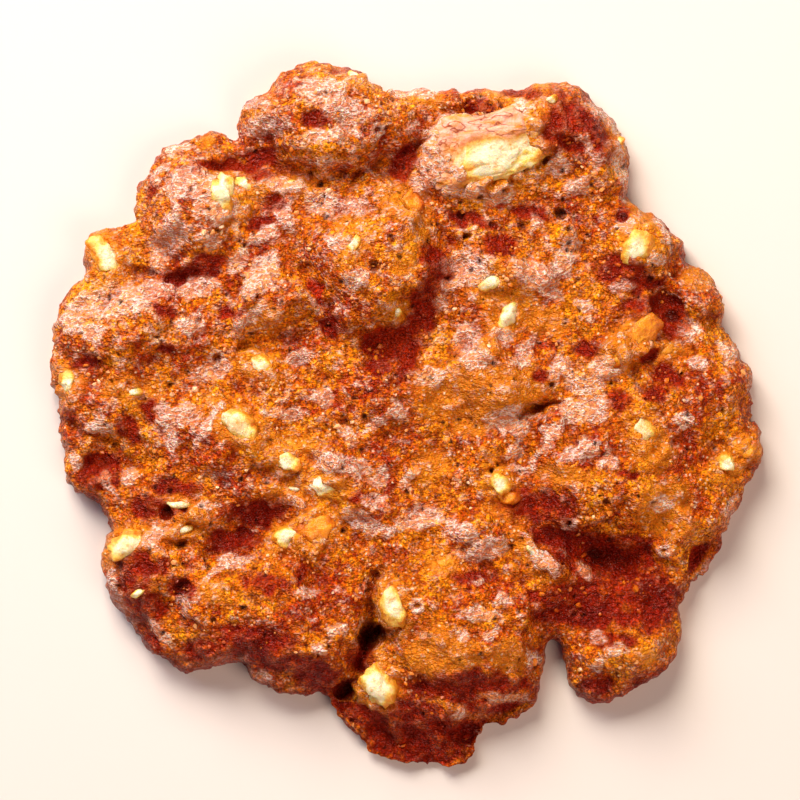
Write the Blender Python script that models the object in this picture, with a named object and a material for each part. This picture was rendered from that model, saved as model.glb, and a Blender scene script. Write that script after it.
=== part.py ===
"""A lumpy round chicken biscuit, 64 mm across, with chopped melon and nut bits baked into its top.

The biscuit lies flat on the XY plane, its underside at Z = 0, its middle at the origin.
The dough is one solid: a grid trimmed to an outline of overlapping lobes, raised to the relief of the
baked top, and closed by a low rim and a flat underside. The small bits are fused to it.
The one bit as large as a berry is a piece of its own, in a socket in the dough.
Sizes in the tables are millimetres.
"""

import math
import random

import bmesh
import bpy
from mathutils import Matrix, Vector, noise

MM = 0.001

# The sheet of dough.
SHEET_HALF = 33.0
CELL = 0.95
EDGE_LEVEL = 1.3
EDGE_THICKNESS = 3.3
MIDDLE_THICKNESS = 4.4
THICKENING_RUN = 9.0
ROUNDING_RUN = 2.1
ROUNDING_POWER = 2.4
THINNEST = 0.9

# The rim under the widest line: (share of the edge level, inward step) of each ring, down to the foot.
RIM_RINGS = ((0.62, 0.05), (0.28, 0.16), (0.0, 0.42))

# How far two lobes blend where they meet, the share of it that is taken back, and how ragged the
# outline is: (size, reach).
LOBE_BLEND = 0.7
BLEND_TAKEN_BACK = 0.4
OUTLINE_RAGGED = ((2.6, 0.42), (1.1, 0.2))
OUTLINE_PLACE = 31.7

# Step that finds which way leads deeper into the outline.
DIRECTION_STEP = 0.05

# How the grid's edge is drawn to the outline: rounds, share of the way in each, and how many cells of
# the sheet next to it are smoothed.
EDGE_ROUNDS = 3
EDGE_PULL = 0.9
SMOOTHED_CELLS = 1.5

# Waves of the relief: (size, height).
RELIEF_WAVES = ((6.5, 0.6), (2.9, 0.55), (1.5, 0.35))
WAVES_PLACE = 4.2

# How far the lumps and creases wander from their plain shapes: (size, reach).
RELIEF_WARP = ((5.0, 1.9), (2.0, 0.8))
WARP_PLACES = (8.3, 21.9)

# Outline lobes, as (x, y, radius). The first is the core, and the rest go clockwise from the top knob.
LOBES = (
    (0.0, 0.0, 25.6),
    (-7.6, 26.2, 5.8),
    (-3.0, 24.5, 4.6),
    (3.0, 19.8, 9.3),
    (7.5, 24.6, 4.9),
    (12.6, 22.9, 7.0),
    (17.0, 21.7, 2.9),
    (17.5, 12.6, 7.3),
    (23.9, 15.1, 1.1),
    (25.0, 9.9, 3.4),
    (22.2, 0.9, 9.1),
    (30.2, -3.4, 1.8),
    (24.0, -4.5, 6.9),
    (21.5, -8.6, 7.1),
    (22.3, -11.3, 5.2),
    (20.3, -15.6, 4.2),
    (19.1, -19.4, 5.8),
    (16.7, -23.9, 2.2),
    (7.0, -21.0, 5.5),
    (10.0, -24.6, 2.1),
    (7.8, -25.5, 2.5),
    (2.0, -27.0, 4.6),
    (3.6, -29.5, 2.3),
    (-1.2, -28.0, 3.1),
    (-3.6, -25.3, 3.4),
    (-9.4, -19.0, 6.5),
    (-18.9, -17.3, 6.1),
    (-21.7, -13.2, 6.0),
    (-23.0, -8.0, 3.6),
    (-25.9, -7.4, 1.9),
    (-28.3, -5.2, 2.2),
    (-27.2, -2.8, 3.9),
    (-27.5, 1.0, 4.0),
    (-29.1, 4.1, 2.7),
    (-24.5, 6.8, 7.5),
    (-26.4, 14.2, 2.2),
    (-25.0, 13.4, 3.7),
    (-19.2, 18.8, 5.4),
    (-17.8, 20.5, 4.7),
    (-13.5, 20.3, 4.5),
    (-12.6, 26.3, 2.5),
)

# The split in the south-east edge: a slot that widens outwards.
SPLIT_HEAD = (13.2, -21.3)
SPLIT_MOUTH = (13.3, -28.0)
SPLIT_HALF_WIDTHS = (0.75, 1.9)

# Lumps of dough, as (x, y, half length, half width, turn in degrees, height, softness of the sides).
# A softness of 0.3 gives steep sides round a flat top, 1 a soft swelling. A negative height is a hollow.
# Each lump is a little lower at its rim than in its middle.
LUMP_RIM_DROP = 0.3
LUMPS = (
    (-6.8, 26.6, 8.6, 5.8, -4, 2.9, 0.60),
    (-3.0, 14.0, 6.9, 8.2, -8, 3.0, 0.65),
    (6.4, 23.4, 8.4, 4.8, 9, 1.2, 0.70),
    (5.4, 28.4, 6.0, 1.5, 2, 0.7, 0.80),
    (14.0, 26.0, 6.0, 4.6, -30, 1.5, 0.70),
    (17.0, 21.6, 2.4, 4.4, -8, 1.1, 0.80),
    (-18.8, 18.6, 6.6, 5.8, 30, 1.8, 0.60),
    (-23.4, 7.8, 9.6, 5.2, 10, 1.7, 0.70),
    (-14.0, 9.4, 5.6, 1.6, 58, 1.0, 0.90),
    (-10.4, 10.4, 3.6, 3.2, 20, 1.0, 0.80),
    (-25.4, 1.0, 5.4, 4.2, 0, 1.1, 0.80),
    (-16.5, -1.6, 8.5, 3.6, -22, 1.0, 0.90),
    (-4.4, -6.8, 8.6, 2.2, -34, 1.3, 0.90),
    (-1.5, 1.6, 8.0, 4.4, -8, 1.0, 0.90),
    (5.4, -10.2, 6.6, 1.9, -10, 1.0, 0.90),
    (11.4, -12.4, 3.6, 1.9, -42, 1.0, 0.80),
    (7.4, 3.4, 7.4, 4.6, -6, 1.7, 0.75),
    (9.0, 12.4, 7.6, 3.0, 8, 1.0, 0.90),
    (21.0, 14.6, 4.8, 5.2, -25, 1.4, 0.75),
    (19.6, 6.6, 5.4, 3.2, 35, 1.3, 0.75),
    (26.7, 10.8, 2.6, 3.2, 0, 0.8, 0.80),
    (27.0, 2.4, 4.2, 5.6, 0, 1.1, 0.80),
    (18.6, -3.8, 11.0, 7.8, 36, 1.9, 0.65),
    (25.6, -7.4, 4.4, 5.0, 20, 0.9, 0.80),
    (4.8, -18.6, 8.8, 8.4, -10, 1.9, 0.60),
    (18.8, -20.8, 5.4, 4.2, 10, 1.5, 0.70),
    (-12.6, -18.2, 10.4, 6.4, -10, 1.9, 0.60),
    (-19.0, -15.2, 3.6, 3.4, 0, 0.8, 0.80),
    (-23.4, -13.8, 4.2, 5.2, 15, 1.2, 0.80),
    (-18.6, -9.2, 4.0, 1.7, -5, 0.9, 0.80),
    (1.0, -30.4, 9.4, 4.6, 8, -2.2, 0.40),
    (-4.8, -27.8, 4.2, 2.8, -40, -1.7, 0.50),
    (8.4, -27.4, 4.4, 2.0, 12, -1.9, 0.50),
    (27.6, -13.2, 3.0, 3.8, -30, -2.0, 0.60),
    (17.6, -12.6, 6.2, 2.6, -20, -1.8, 0.90),
    (-27.4, -4.6, 2.8, 3.0, 0, -1.5, 0.90),
    (-14.6, -10.2, 6.6, 2.4, 8, -1.4, 0.90),
    (-12.6, 6.2, 5.2, 1.8, 10, -0.8, 0.90),
    (23.7, 8.7, 2.0, 2.2, 0, -2.3, 0.80),
)

# Creases between lumps, as (half width, depth, points along the crease).
CREASES = (
    (0.8, 1.3, ((-18.5, 22.4), (-12.5, 23.0), (-7.5, 21.6), (-2.0, 21.8), (1.0, 24.8))),
    (1.1, 1.2, ((3.2, 17.5), (3.5, 12.5), (2.0, 8.2), (-2.0, 6.4))),
    (0.6, 1.3, ((-9.3, 12.5), (-7.5, 10.0), (-6.4, 7.2))),
    (0.6, 0.8, ((-26.5, 12.8), (-21.5, 12.4), (-16.5, 12.8), (-13.0, 17.0))),
    (0.4, 0.8, ((2.5, 27.1), (6.5, 26.8), (10.2, 27.3))),
    (0.7, 0.9, ((-15.2, 5.8), (-11.0, 6.8), (-7.5, 7.4))),
    (0.5, 1.0, ((-21.8, -11.8), (-17.5, -12.5), (-13.0, -12.0), (-10.0, -12.3))),
    (0.75, 2.8, ((-2.4, -14.8), (-2.9, -17.4), (-3.4, -20.2), (-4.4, -23.0), (-5.6, -25.6))),
    (0.5, 2.0, ((10.8, -0.2), (12.6, -0.4), (14.0, 0.5))),
    (0.5, 0.5, ((6.8, -5.2), (10.2, -2.8), (14.6, 2.4), (18.0, 5.0))),
    (0.8, 1.0, ((9.6, -9.4), (14.0, -10.8), (17.5, -12.6), (22.8, -13.6))),
    (0.35, 0.9, ((-9.4, -12.4), (-9.0, -14.8))),
    (0.5, 0.8, ((-31.0, -0.6), (-28.5, -1.2), (-25.0, -4.6))),
    (0.5, 0.8, ((12.4, 24.6), (15.0, 24.2), (18.0, 24.8))),
)

# Pits and broken bubbles, as (x, y, radius, depth).
PITS = (
    (-3.0, -19.8, 1.4, 3.4),
    (-5.5, -25.1, 1.1, 1.6),
    (-20.0, -15.6, 1.1, 1.7),
    (-20.8, -18.8, 0.8, 1.0),
    (12.2, 22.6, 0.7, 1.0),
    (10.6, 21.4, 0.7, 1.0),
    (13.6, 18.0, 0.8, 1.1),
    (10.4, 17.0, 0.7, 0.9),
    (5.2, 15.8, 0.7, 0.9),
    (18.5, 17.4, 0.7, 0.9),
    (-8.1, 10.8, 0.8, 1.4),
    (-6.6, 8.0, 0.9, 1.5),
    (12.6, -0.4, 0.9, 1.4),
)

# Chopped bits set in the dough, as (x, y, length, width, turn in degrees, height, share above the dough).
BITS = (
    (21.0, 15.0, 4.2, 2.4, 66, 2.0, 0.40),
    (-16.2, 19.8, 3.7, 1.8, 84, 1.7, 0.35),
    (-26.4, 13.9, 2.7, 2.1, 120, 1.8, 0.45),
    (-30.3, 2.8, 2.1, 1.7, 60, 1.6, 0.45),
    (-15.0, -0.9, 4.8, 2.3, -28, 1.8, 0.35),
    (-13.2, 4.3, 2.5, 1.4, -20, 1.4, 0.30),
    (-10.5, -4.3, 2.3, 1.9, 0, 1.7, 0.45),
    (-7.6, -6.4, 3.1, 1.3, 24, 1.3, 0.40),
    (-10.6, -11.1, 2.3, 1.8, 45, 1.6, 0.45),
    (-8.2, -10.1, 3.3, 2.3, 35, 1.5, 0.35),
    (-20.2, -7.8, 2.7, 1.1, -4, 1.2, 0.40),
    (-25.0, -11.7, 3.7, 2.0, 22, 1.8, 0.45),
    (-2.4, -24.3, 4.3, 3.2, -75, 2.6, 0.50),
    (-1.2, -17.0, 3.9, 2.0, -80, 2.0, 0.40),
    (8.2, -6.2, 2.4, 1.9, -60, 1.8, 0.45),
    (3.5, -13.1, 1.9, 1.5, 0, 1.3, 0.40),
    (20.7, -1.9, 3.5, 2.2, -50, 1.6, 0.35),
    (28.6, -4.5, 1.7, 1.6, 0, 1.5, 0.50),
    (30.4, -3.2, 2.4, 1.6, 25, 1.6, 0.40),
    (9.0, 8.5, 3.5, 1.5, 55, 1.5, 0.35),
    (7.2, 12.0, 2.5, 1.4, 30, 1.3, 0.35),
    (20.5, 6.9, 4.7, 3.0, 45, 2.0, 0.35),
    (18.8, 5.0, 1.8, 1.4, 80, 1.3, 0.40),
    (23.2, 5.8, 1.8, 1.5, 0, 1.3, 0.40),
    (0.2, 18.9, 2.9, 2.2, -60, 1.6, 0.30),
)
BIT_ROUGHNESS = 0.16

# Shape of a bit: 1 is a ball and 0.5 nearly a block, and how many waves roughen it.
BLOCKINESS = 0.75
BIT_WAVES = 2.4
BIT_SUBDIVISIONS, CHUNK_SUBDIVISIONS = 2, 3

# The one large chunk, and the socket that it lies in.
CHUNK = (6.7, 23.3, 10.4, 4.9, 7, 3.0, 0.34)
CHUNK_ROUGHNESS = 0.12
SOCKET_GAP = 0.3

# Colour (sRGB), roughness of the baked dough and of the pale bits.
CRUST_COLOUR, CRUST_ROUGHNESS = "a8481a", 0.55
MELON_COLOUR, MELON_ROUGHNESS = "f3d99a", 0.40


def ragged(x, y, waves, place):
    """Sum of smooth noise waves at a point, each with its own size and height."""
    return sum(
        height * noise.noise(Vector((x / size, y / size, place + k)))
        for k, (size, height) in enumerate(waves)
    )


def distance_to_line(x, y, points):
    """Distance from a point to the nearest stretch of a line through points."""
    nearest = math.inf
    for (ax, ay), (bx, by) in zip(points, points[1:]):
        dx, dy = bx - ax, by - ay
        along = ((x - ax) * dx + (y - ay) * dy) / (dx * dx + dy * dy)
        along = min(1.0, max(0.0, along))
        nearest = min(nearest, math.hypot(x - ax - along * dx, y - ay - along * dy))
    return nearest


def split_clearance(x, y):
    """How far a point lies outside the split in the edge."""
    (hx, hy), (mx, my) = SPLIT_HEAD, SPLIT_MOUTH
    along = min(1.0, max(0.0, (y - hy) / (my - hy)))
    half = SPLIT_HALF_WIDTHS[0] + along * (SPLIT_HALF_WIDTHS[1] - SPLIT_HALF_WIDTHS[0])
    return math.hypot(x - hx - along * (mx - hx), y - hy - along * (my - hy)) - half


def depth_inside(x, y):
    """How far a point lies inside the outline: the lobes' own depths, blended where they meet."""
    depths = [r - math.hypot(x - cx, y - cy) for cx, cy, r in LOBES]
    most = max(depths)
    blended = sum(math.exp((d - most) / LOBE_BLEND) for d in depths)
    inside = most + LOBE_BLEND * (math.log(blended) - BLEND_TAKEN_BACK)
    inside += ragged(x, y, OUTLINE_RAGGED, OUTLINE_PLACE)
    return min(inside, split_clearance(x, y))


def lump(x, y, cx, cy, half_length, half_width, turn, height, softness):
    """Height that one lump adds at a point."""
    a = math.radians(turn)
    u = ((x - cx) * math.cos(a) + (y - cy) * math.sin(a)) / half_length
    v = ((y - cy) * math.cos(a) - (x - cx) * math.sin(a)) / half_width
    side = (1.0 - math.hypot(u, v)) / softness
    if side <= 0:
        return 0.0
    side = min(1.0, side)
    return height * side * side * (3 - 2 * side) * (1 - LUMP_RIM_DROP * (u * u + v * v))


def relief(x, y):
    """Height of the lumps, creases, pits and waves over the plain sheet."""
    wx = x + ragged(x, y, RELIEF_WARP, WARP_PLACES[0])
    wy = y + ragged(x, y, RELIEF_WARP, WARP_PLACES[1])
    z = sum(lump(wx, wy, *one) for one in LUMPS)
    for half_width, depth, points in CREASES:
        z -= depth * math.exp(-((distance_to_line(wx, wy, points) / half_width) ** 2))
    for px, py, radius, depth in PITS:
        z -= depth * math.exp(-((math.hypot(x - px, y - py) / radius) ** 4))
    return z + ragged(x, y, RELIEF_WAVES, WAVES_PLACE)


def top_height(x, y):
    """Height of the baked top at a point inside the outline."""
    inside = max(0.0, depth_inside(x, y))
    run = min(1.0, inside / THICKENING_RUN)
    thickness = EDGE_THICKNESS + (MIDDLE_THICKNESS - EDGE_THICKNESS) * run * (2 - run)
    full = max(THINNEST, thickness + relief(x, y))
    short = 1.0 - min(1.0, inside / ROUNDING_RUN)
    rise = (1.0 - short**ROUNDING_POWER) ** (1.0 / ROUNDING_POWER)
    low = min(EDGE_LEVEL, full)
    return low + (full - low) * rise


def inward(x, y):
    """Unit direction that leads deeper into the outline."""
    step = DIRECTION_STEP
    slope = Vector(
        (
            depth_inside(x + step, y) - depth_inside(x - step, y),
            depth_inside(x, y + step) - depth_inside(x, y - step),
        )
    )
    return slope.normalized() if slope.length > 1e-6 else Vector((0.0, 0.0))


def trim_to_outline(bm):
    """Deletes the grid's faces outside the outline, and pulls the edge of the large sheet to it."""
    outside = [f for f in bm.faces if depth_inside(*f.calc_center_median().xy) < 0]
    bmesh.ops.delete(bm, geom=outside, context="FACES")
    middle = min(bm.faces, key=lambda f: f.calc_center_median().length)
    joined, border = {middle}, [middle]
    while border:
        face = border.pop()
        for edge in face.edges:
            for other in edge.link_faces:
                if other not in joined:
                    joined.add(other)
                    border.append(other)
    bmesh.ops.delete(bm, geom=[f for f in bm.faces if f not in joined], context="FACES")
    for _ in range(EDGE_ROUNDS):
        for vert in [v for v in bm.verts if v.is_boundary]:
            pull = inward(*vert.co.xy) * depth_inside(*vert.co.xy)
            vert.co.xy -= pull * EDGE_PULL
        near = [
            v
            for v in bm.verts
            if not v.is_boundary and depth_inside(*v.co.xy) < SMOOTHED_CELLS * CELL
        ]
        bmesh.ops.smooth_vert(
            bm, verts=near, factor=0.5, use_axis_x=True, use_axis_y=True
        )


def close_underneath(bm):
    """Takes the edge down in rings that step inwards, and closes the flat underside."""
    edges = [e for e in bm.edges if e.is_boundary]
    lip = {v: v.co.copy() for e in edges for v in e.verts}
    source = {v: v for v in lip}
    for share, step in RIM_RINGS:
        made = bmesh.ops.extrude_edge_only(bm, edges=edges)["geom"]
        edges = [g for g in made if isinstance(g, bmesh.types.BMEdge) and g.is_boundary]
        ring = {v for e in edges for v in e.verts}
        below = {}
        for vert in ring:
            above = next(
                e.other_vert(vert)
                for e in vert.link_edges
                if e.other_vert(vert) in source
            )
            below[vert] = source[above]
            start = lip[source[above]]
            vert.co.xy = start.xy + inward(*start.xy) * step
            vert.co.z = start.z * share
        source = below
    bmesh.ops.contextual_create(bm, geom=edges)


def finished_object(bm, name, material):
    """Turns a bmesh in millimetres into a smooth-shaded object in metres."""
    bmesh.ops.triangulate(bm, faces=bm.faces[:])
    bmesh.ops.recalc_face_normals(bm, faces=bm.faces[:])
    bmesh.ops.scale(bm, vec=(MM, MM, MM), verts=bm.verts[:])
    mesh = bpy.data.meshes.new(name)
    bm.to_mesh(mesh)
    bm.free()
    mesh.shade_smooth()
    mesh.materials.append(material)
    return bpy.data.objects.new(name, mesh)


def dough(material):
    """The sheet of dough with its baked relief, closed rim and flat underside."""
    bm = bmesh.new()
    cells = round(2 * SHEET_HALF / CELL)
    bmesh.ops.create_grid(bm, x_segments=cells, y_segments=cells, size=SHEET_HALF)
    trim_to_outline(bm)
    for vert in bm.verts:
        vert.co.z = top_height(*vert.co.xy)
    close_underneath(bm)
    return finished_object(bm, "biscuit", material)


def chopped_bit(name, place, roughness, subdivisions, material, grow=0.0):
    """A roughly chopped morsel: a squashed ball with uneven, flattened sides, set into the top."""
    x, y, length, width, turn, height, proud = place
    bm = bmesh.new()
    bmesh.ops.create_icosphere(bm, subdivisions=subdivisions, radius=0.5)
    chooser = random.Random(round(1000 * (x + 3 * y)))
    shift = Vector((chooser.uniform(-9, 9), chooser.uniform(-9, 9), 0.0))
    for vert in bm.verts:
        blocky = Vector([math.copysign(abs(c * 2) ** BLOCKINESS, c) / 2 for c in vert.co])
        vert.co = blocky * (1.0 + roughness * noise.noise(vert.co * BIT_WAVES + shift))
        vert.co.x *= length + 2 * grow
        vert.co.y *= width + 2 * grow
        vert.co.z *= height + 2 * grow
    middle = top_height(x, y) + (proud - 0.5) * height
    placed = Matrix.Translation((x, y, middle)) @ Matrix.Rotation(
        math.radians(turn), 4, "Z"
    )
    bmesh.ops.transform(bm, matrix=placed, verts=bm.verts[:])
    return finished_object(bm, name, material)


def food_material(name, colour, roughness):
    """A plain material in one sRGB colour."""
    channels = [int(colour[k : k + 2], 16) / 255 for k in (0, 2, 4)]
    linear = [
        c / 12.92 if c <= 0.04045 else ((c + 0.055) / 1.055) ** 2.4 for c in channels
    ]
    material = bpy.data.materials.new(name)
    material.use_nodes = True
    shader = material.node_tree.nodes["Principled BSDF"]
    shader.inputs["Base Color"].default_value = (*linear, 1.0)
    shader.inputs["Roughness"].default_value = roughness
    return material


def apply_boolean(target, operation, **operand):
    """Adds a Boolean to the target, and applies it."""
    modifier = target.modifiers.new(operation.title(), "BOOLEAN")
    modifier.operation = operation
    modifier.solver = "EXACT"
    for key, value in operand.items():
        setattr(modifier, key, value)
    graph = bpy.context.evaluated_depsgraph_get()
    mesh = bpy.data.meshes.new_from_object(target.evaluated_get(graph))
    target.modifiers.clear()
    target.data = mesh
    mesh.shade_smooth()


def new_collection(name):
    """An empty collection in the scene."""
    collection = bpy.data.collections.new(name)
    bpy.context.scene.collection.children.link(collection)
    return collection


def build():
    """Builds the dough with its fused bits, and the large chunk in its socket."""
    for obj in list(bpy.data.objects):
        bpy.data.objects.remove(obj)
    crust = food_material("baked_crust", CRUST_COLOUR, CRUST_ROUGHNESS)
    melon = food_material("candied_melon", MELON_COLOUR, MELON_ROUGHNESS)
    parts = new_collection("chicken_biscuit")
    body = dough(crust)
    parts.objects.link(body)

    cutters = new_collection("cutters")
    finish = CHUNK_ROUGHNESS, CHUNK_SUBDIVISIONS
    socket = chopped_bit("socket", CHUNK, *finish, crust, SOCKET_GAP)
    cutters.objects.link(socket)
    apply_boolean(body, "DIFFERENCE", object=socket)
    bpy.data.objects.remove(socket)

    fused = new_collection("fused_bits")
    for number, place in enumerate(BITS):
        bit = chopped_bit(f"bit_{number:02d}", place, BIT_ROUGHNESS, BIT_SUBDIVISIONS, melon)
        fused.objects.link(bit)
    apply_boolean(body, "UNION", operand_type="COLLECTION", collection=fused)
    for bit in list(fused.objects):
        bpy.data.objects.remove(bit)

    chunk = chopped_bit("melon_chunk", CHUNK, *finish, melon)
    parts.objects.link(chunk)


build()
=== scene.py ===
"""Looks of a lumpy round chicken biscuit with chopped nut and candied melon bits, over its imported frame.

Shapes are worked out in millimetres and turned to metres once, when a mesh is finished.
+Z is up through the baked top, and +Y is the side with the tall knob.
"""

from __future__ import annotations

import logging
import math
import random
from collections.abc import Mapping, Sequence
from dataclasses import dataclass
from enum import Enum

import bmesh
import bpy
import numpy as np
from mathutils import Euler, Matrix, Vector, noise


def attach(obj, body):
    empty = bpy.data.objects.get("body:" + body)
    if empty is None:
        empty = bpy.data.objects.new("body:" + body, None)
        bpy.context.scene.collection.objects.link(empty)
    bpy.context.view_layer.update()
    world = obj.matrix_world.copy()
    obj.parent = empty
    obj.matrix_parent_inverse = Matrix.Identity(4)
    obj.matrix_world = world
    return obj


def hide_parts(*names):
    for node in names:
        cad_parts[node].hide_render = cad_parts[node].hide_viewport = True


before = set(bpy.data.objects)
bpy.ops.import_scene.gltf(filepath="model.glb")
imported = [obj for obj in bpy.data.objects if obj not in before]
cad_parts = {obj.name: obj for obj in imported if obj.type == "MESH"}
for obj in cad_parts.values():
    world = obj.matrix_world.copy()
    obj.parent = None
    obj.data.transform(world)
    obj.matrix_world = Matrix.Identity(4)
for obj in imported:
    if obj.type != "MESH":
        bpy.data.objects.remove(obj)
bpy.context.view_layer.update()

MM = 0.001
# Refraction of syrup, of fat and of candied flesh.
SUGAR_IOR = 1.47
log = logging.getLogger("chicken_biscuit")

Array = np.ndarray
Tree = bpy.types.ShaderNodeTree
Socket = bpy.types.NodeSocket


def noise_at(x: Array, y: Array, z: Array | float, size: float) -> Array:
    """Smooth noise at many points.

    Args:
        x: X of the points, in millimetres.
        y: Y of the points.
        z: Z of the points, or one number that picks a flat slice of the noise.
        size: Size of one wave, in millimetres. Z given as one number isn't divided by it.

    Returns:
        One value from about -1 to 1 for each point.
    """
    heights = (z / size).tolist() if isinstance(z, np.ndarray) else [z] * len(x)
    points = zip((x / size).tolist(), (y / size).tolist(), heights)
    return np.array([noise.noise(point) for point in points])


@dataclass(frozen=True)
class Waves:
    """Noise waves of several sizes, summed.

    Attributes:
        kinds: (size, height) of each kind of wave, in millimetres.
        seed: Picks the slice of noise that the first kind is read from.
        apart: How far apart in space two kinds are read, in millimetres.
    """

    kinds: tuple[tuple[float, float], ...]
    seed: float
    apart: float = 9.0

    def flat(self, x: Array, y: Array) -> Array:
        """Sum of the waves at points of the XY plane.

        Args:
            x: X of the points.
            y: Y of the points.

        Returns:
            One height for each point.
        """
        parts = [
            height * noise_at(x, y, self.seed + k, size)
            for k, (size, height) in enumerate(self.kinds)
        ]
        return np.sum(parts, axis=0)

    def solid(self, points: Array) -> Array:
        """Sum of the waves at points in space.

        Args:
            points: One row of X, Y, Z for each point.

        Returns:
            One height for each point.
        """
        x, y, z = points.T
        parts = [
            height * noise_at(x + self.seed, y, z + self.apart * k, size)
            for k, (size, height) in enumerate(self.kinds)
        ]
        return np.sum(parts, axis=0)


def turned_place(x: Array, y: Array, place: Sequence[float]) -> tuple[Array, Array]:
    """Places of points inside a turned oval, as shares of its half length and half width.

    Args:
        x: X of the points.
        y: Y of the points.
        place: The oval's x, y, half length, half width and turn in degrees.

    Returns:
        The share along the length and the share across it, both 0 in the middle.
    """
    cx, cy, half_length, half_width, turn = place
    cosine, sine = math.cos(math.radians(turn)), math.sin(math.radians(turn))
    along = ((x - cx) * cosine + (y - cy) * sine) / half_length
    across = ((y - cy) * cosine - (x - cx) * sine) / half_width
    return along, across


@dataclass(frozen=True)
class Patches:
    """Frayed oval patches of one look on the baked top.

    Attributes:
        places: (x, y, half length, half width, turn in degrees) of each patch.
        seed: Picks the noise that frays their edges.
        fray: How far the edges wander, in millimetres.
        fray_size: Size of the waves of the frayed edges.
    """

    places: tuple[tuple[float, float, float, float, float], ...]
    seed: float
    fray: float = 0.5
    fray_size: float = 1.1

    def share(self, x: Array, y: Array) -> Array:
        """How much of the look shows at points of the top.

        Args:
            x: X of the points.
            y: Y of the points.

        Returns:
            A share from 0 to 1 for each point.
        """
        frayed_x = x + self.fray * noise_at(x, y, self.seed, self.fray_size)
        frayed_y = y + self.fray * noise_at(x, y, self.seed + 7.0, self.fray_size)
        most = np.zeros(len(x))
        for place in self.places:
            # Full up to 0.6 of the oval's size, gone at 1.4 of it.
            near = np.clip(1.75 - 1.25 * np.hypot(*turned_place(frayed_x, frayed_y, place)), 0.0, 1.0)
            most = np.maximum(most, near * near * (3 - 2 * near))
        return most


@dataclass(frozen=True)
class Outline:
    """Outline of the biscuit: overlapping round lobes, blended and ragged, with one split.

    Attributes:
        lobes: (x, y, radius) of each lobe. The first is the core, the rest go clockwise from the top knob.
        blend: How far two lobes melt together where they meet.
        blend_back: Share of the blend by which the outline is drawn in again, so that it keeps its size.
        ragged: Unevenness of the edge.
        crumbs: Fine, crumbly unevenness of the edge.
        split_head: Inner end of the split.
        split_mouth: Outer end of the split.
        split_half_widths: Half width of the split at its two ends.
    """

    lobes: tuple[tuple[float, float, float], ...] = (
        (0.0, 0.0, 25.6), (-7.6, 26.2, 5.8), (-3.0, 24.5, 4.6), (3.0, 19.8, 9.3), (7.5, 24.6, 4.9),
        (12.6, 22.9, 7.0), (17.0, 21.7, 2.9), (17.5, 12.6, 7.3), (23.9, 15.1, 1.1), (25.0, 9.9, 3.4),
        (22.2, 0.9, 9.1), (30.2, -3.4, 1.8), (24.0, -4.5, 6.9), (21.5, -8.6, 7.1), (22.3, -11.3, 5.2),
        (20.3, -15.6, 4.2), (19.1, -19.4, 5.8), (16.7, -23.9, 2.2), (7.0, -21.0, 5.5), (10.0, -24.6, 2.1),
        (7.8, -25.5, 2.5), (2.0, -27.0, 4.6), (3.6, -29.5, 2.3), (-1.2, -28.0, 3.1), (-3.6, -25.3, 3.4),
        (-9.4, -19.0, 6.5), (-18.9, -17.3, 6.1), (-21.7, -13.2, 6.0), (-23.0, -8.0, 3.6),
        (-25.9, -7.4, 1.9), (-28.3, -5.2, 2.2), (-27.2, -2.8, 3.9), (-27.5, 1.0, 4.0), (-29.1, 4.1, 2.7),
        (-24.5, 6.8, 7.5), (-26.4, 14.2, 2.2), (-25.0, 13.4, 3.7), (-19.2, 18.8, 5.4), (-17.8, 20.5, 4.7),
        (-13.5, 20.3, 4.5), (-12.6, 26.3, 2.5),
    )
    blend: float = 0.7
    blend_back: float = 0.4
    ragged: Waves = Waves(((2.6, 0.42), (1.1, 0.2)), 31.7)
    crumbs: Waves = Waves(((0.75, 0.13), (0.42, 0.07)), 47.1)
    split_head: tuple[float, float] = (13.2, -21.3)
    split_mouth: tuple[float, float] = (13.3, -28.0)
    split_half_widths: tuple[float, float] = (0.75, 1.9)

    def split_clearance(self, x: Array, y: Array) -> Array:
        """How far points lie outside the split.

        Args:
            x: X of the points.
            y: Y of the points.

        Returns:
            One distance for each point, negative inside the split.
        """
        (hx, hy), (mx, my) = self.split_head, self.split_mouth
        along = np.clip((y - hy) / (my - hy), 0.0, 1.0)
        narrow, wide = self.split_half_widths
        middle_x, middle_y = hx + along * (mx - hx), hy + along * (my - hy)
        return np.hypot(x - middle_x, y - middle_y) - narrow - along * (wide - narrow)

    def depth(self, x: Array, y: Array) -> Array:
        """How far points lie inside the outline.

        Args:
            x: X of the points.
            y: Y of the points.

        Returns:
            One depth for each point, negative outside.
        """
        cx, cy, radius = np.array(self.lobes).T[:, :, None]
        depths = radius - np.hypot(x - cx, y - cy)
        most = depths.max(axis=0)
        blended = np.exp((depths - most) / self.blend).sum(axis=0)
        inside = most + self.blend * (np.log(blended) - self.blend_back)
        inside += self.ragged.flat(x, y) + self.crumbs.flat(x, y)
        return np.minimum(inside, self.split_clearance(x, y))

    def inward(self, x: Array, y: Array) -> tuple[Array, Array]:
        """Unit directions that lead deeper into the outline.

        Args:
            x: X of the points.
            y: Y of the points.

        Returns:
            The X and Y parts of the directions.
        """
        step = 0.05
        dx = self.depth(x + step, y) - self.depth(x - step, y)
        dy = self.depth(x, y + step) - self.depth(x, y - step)
        length = np.maximum(np.hypot(dx, dy), 1e-6)
        return dx / length, dy / length


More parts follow.
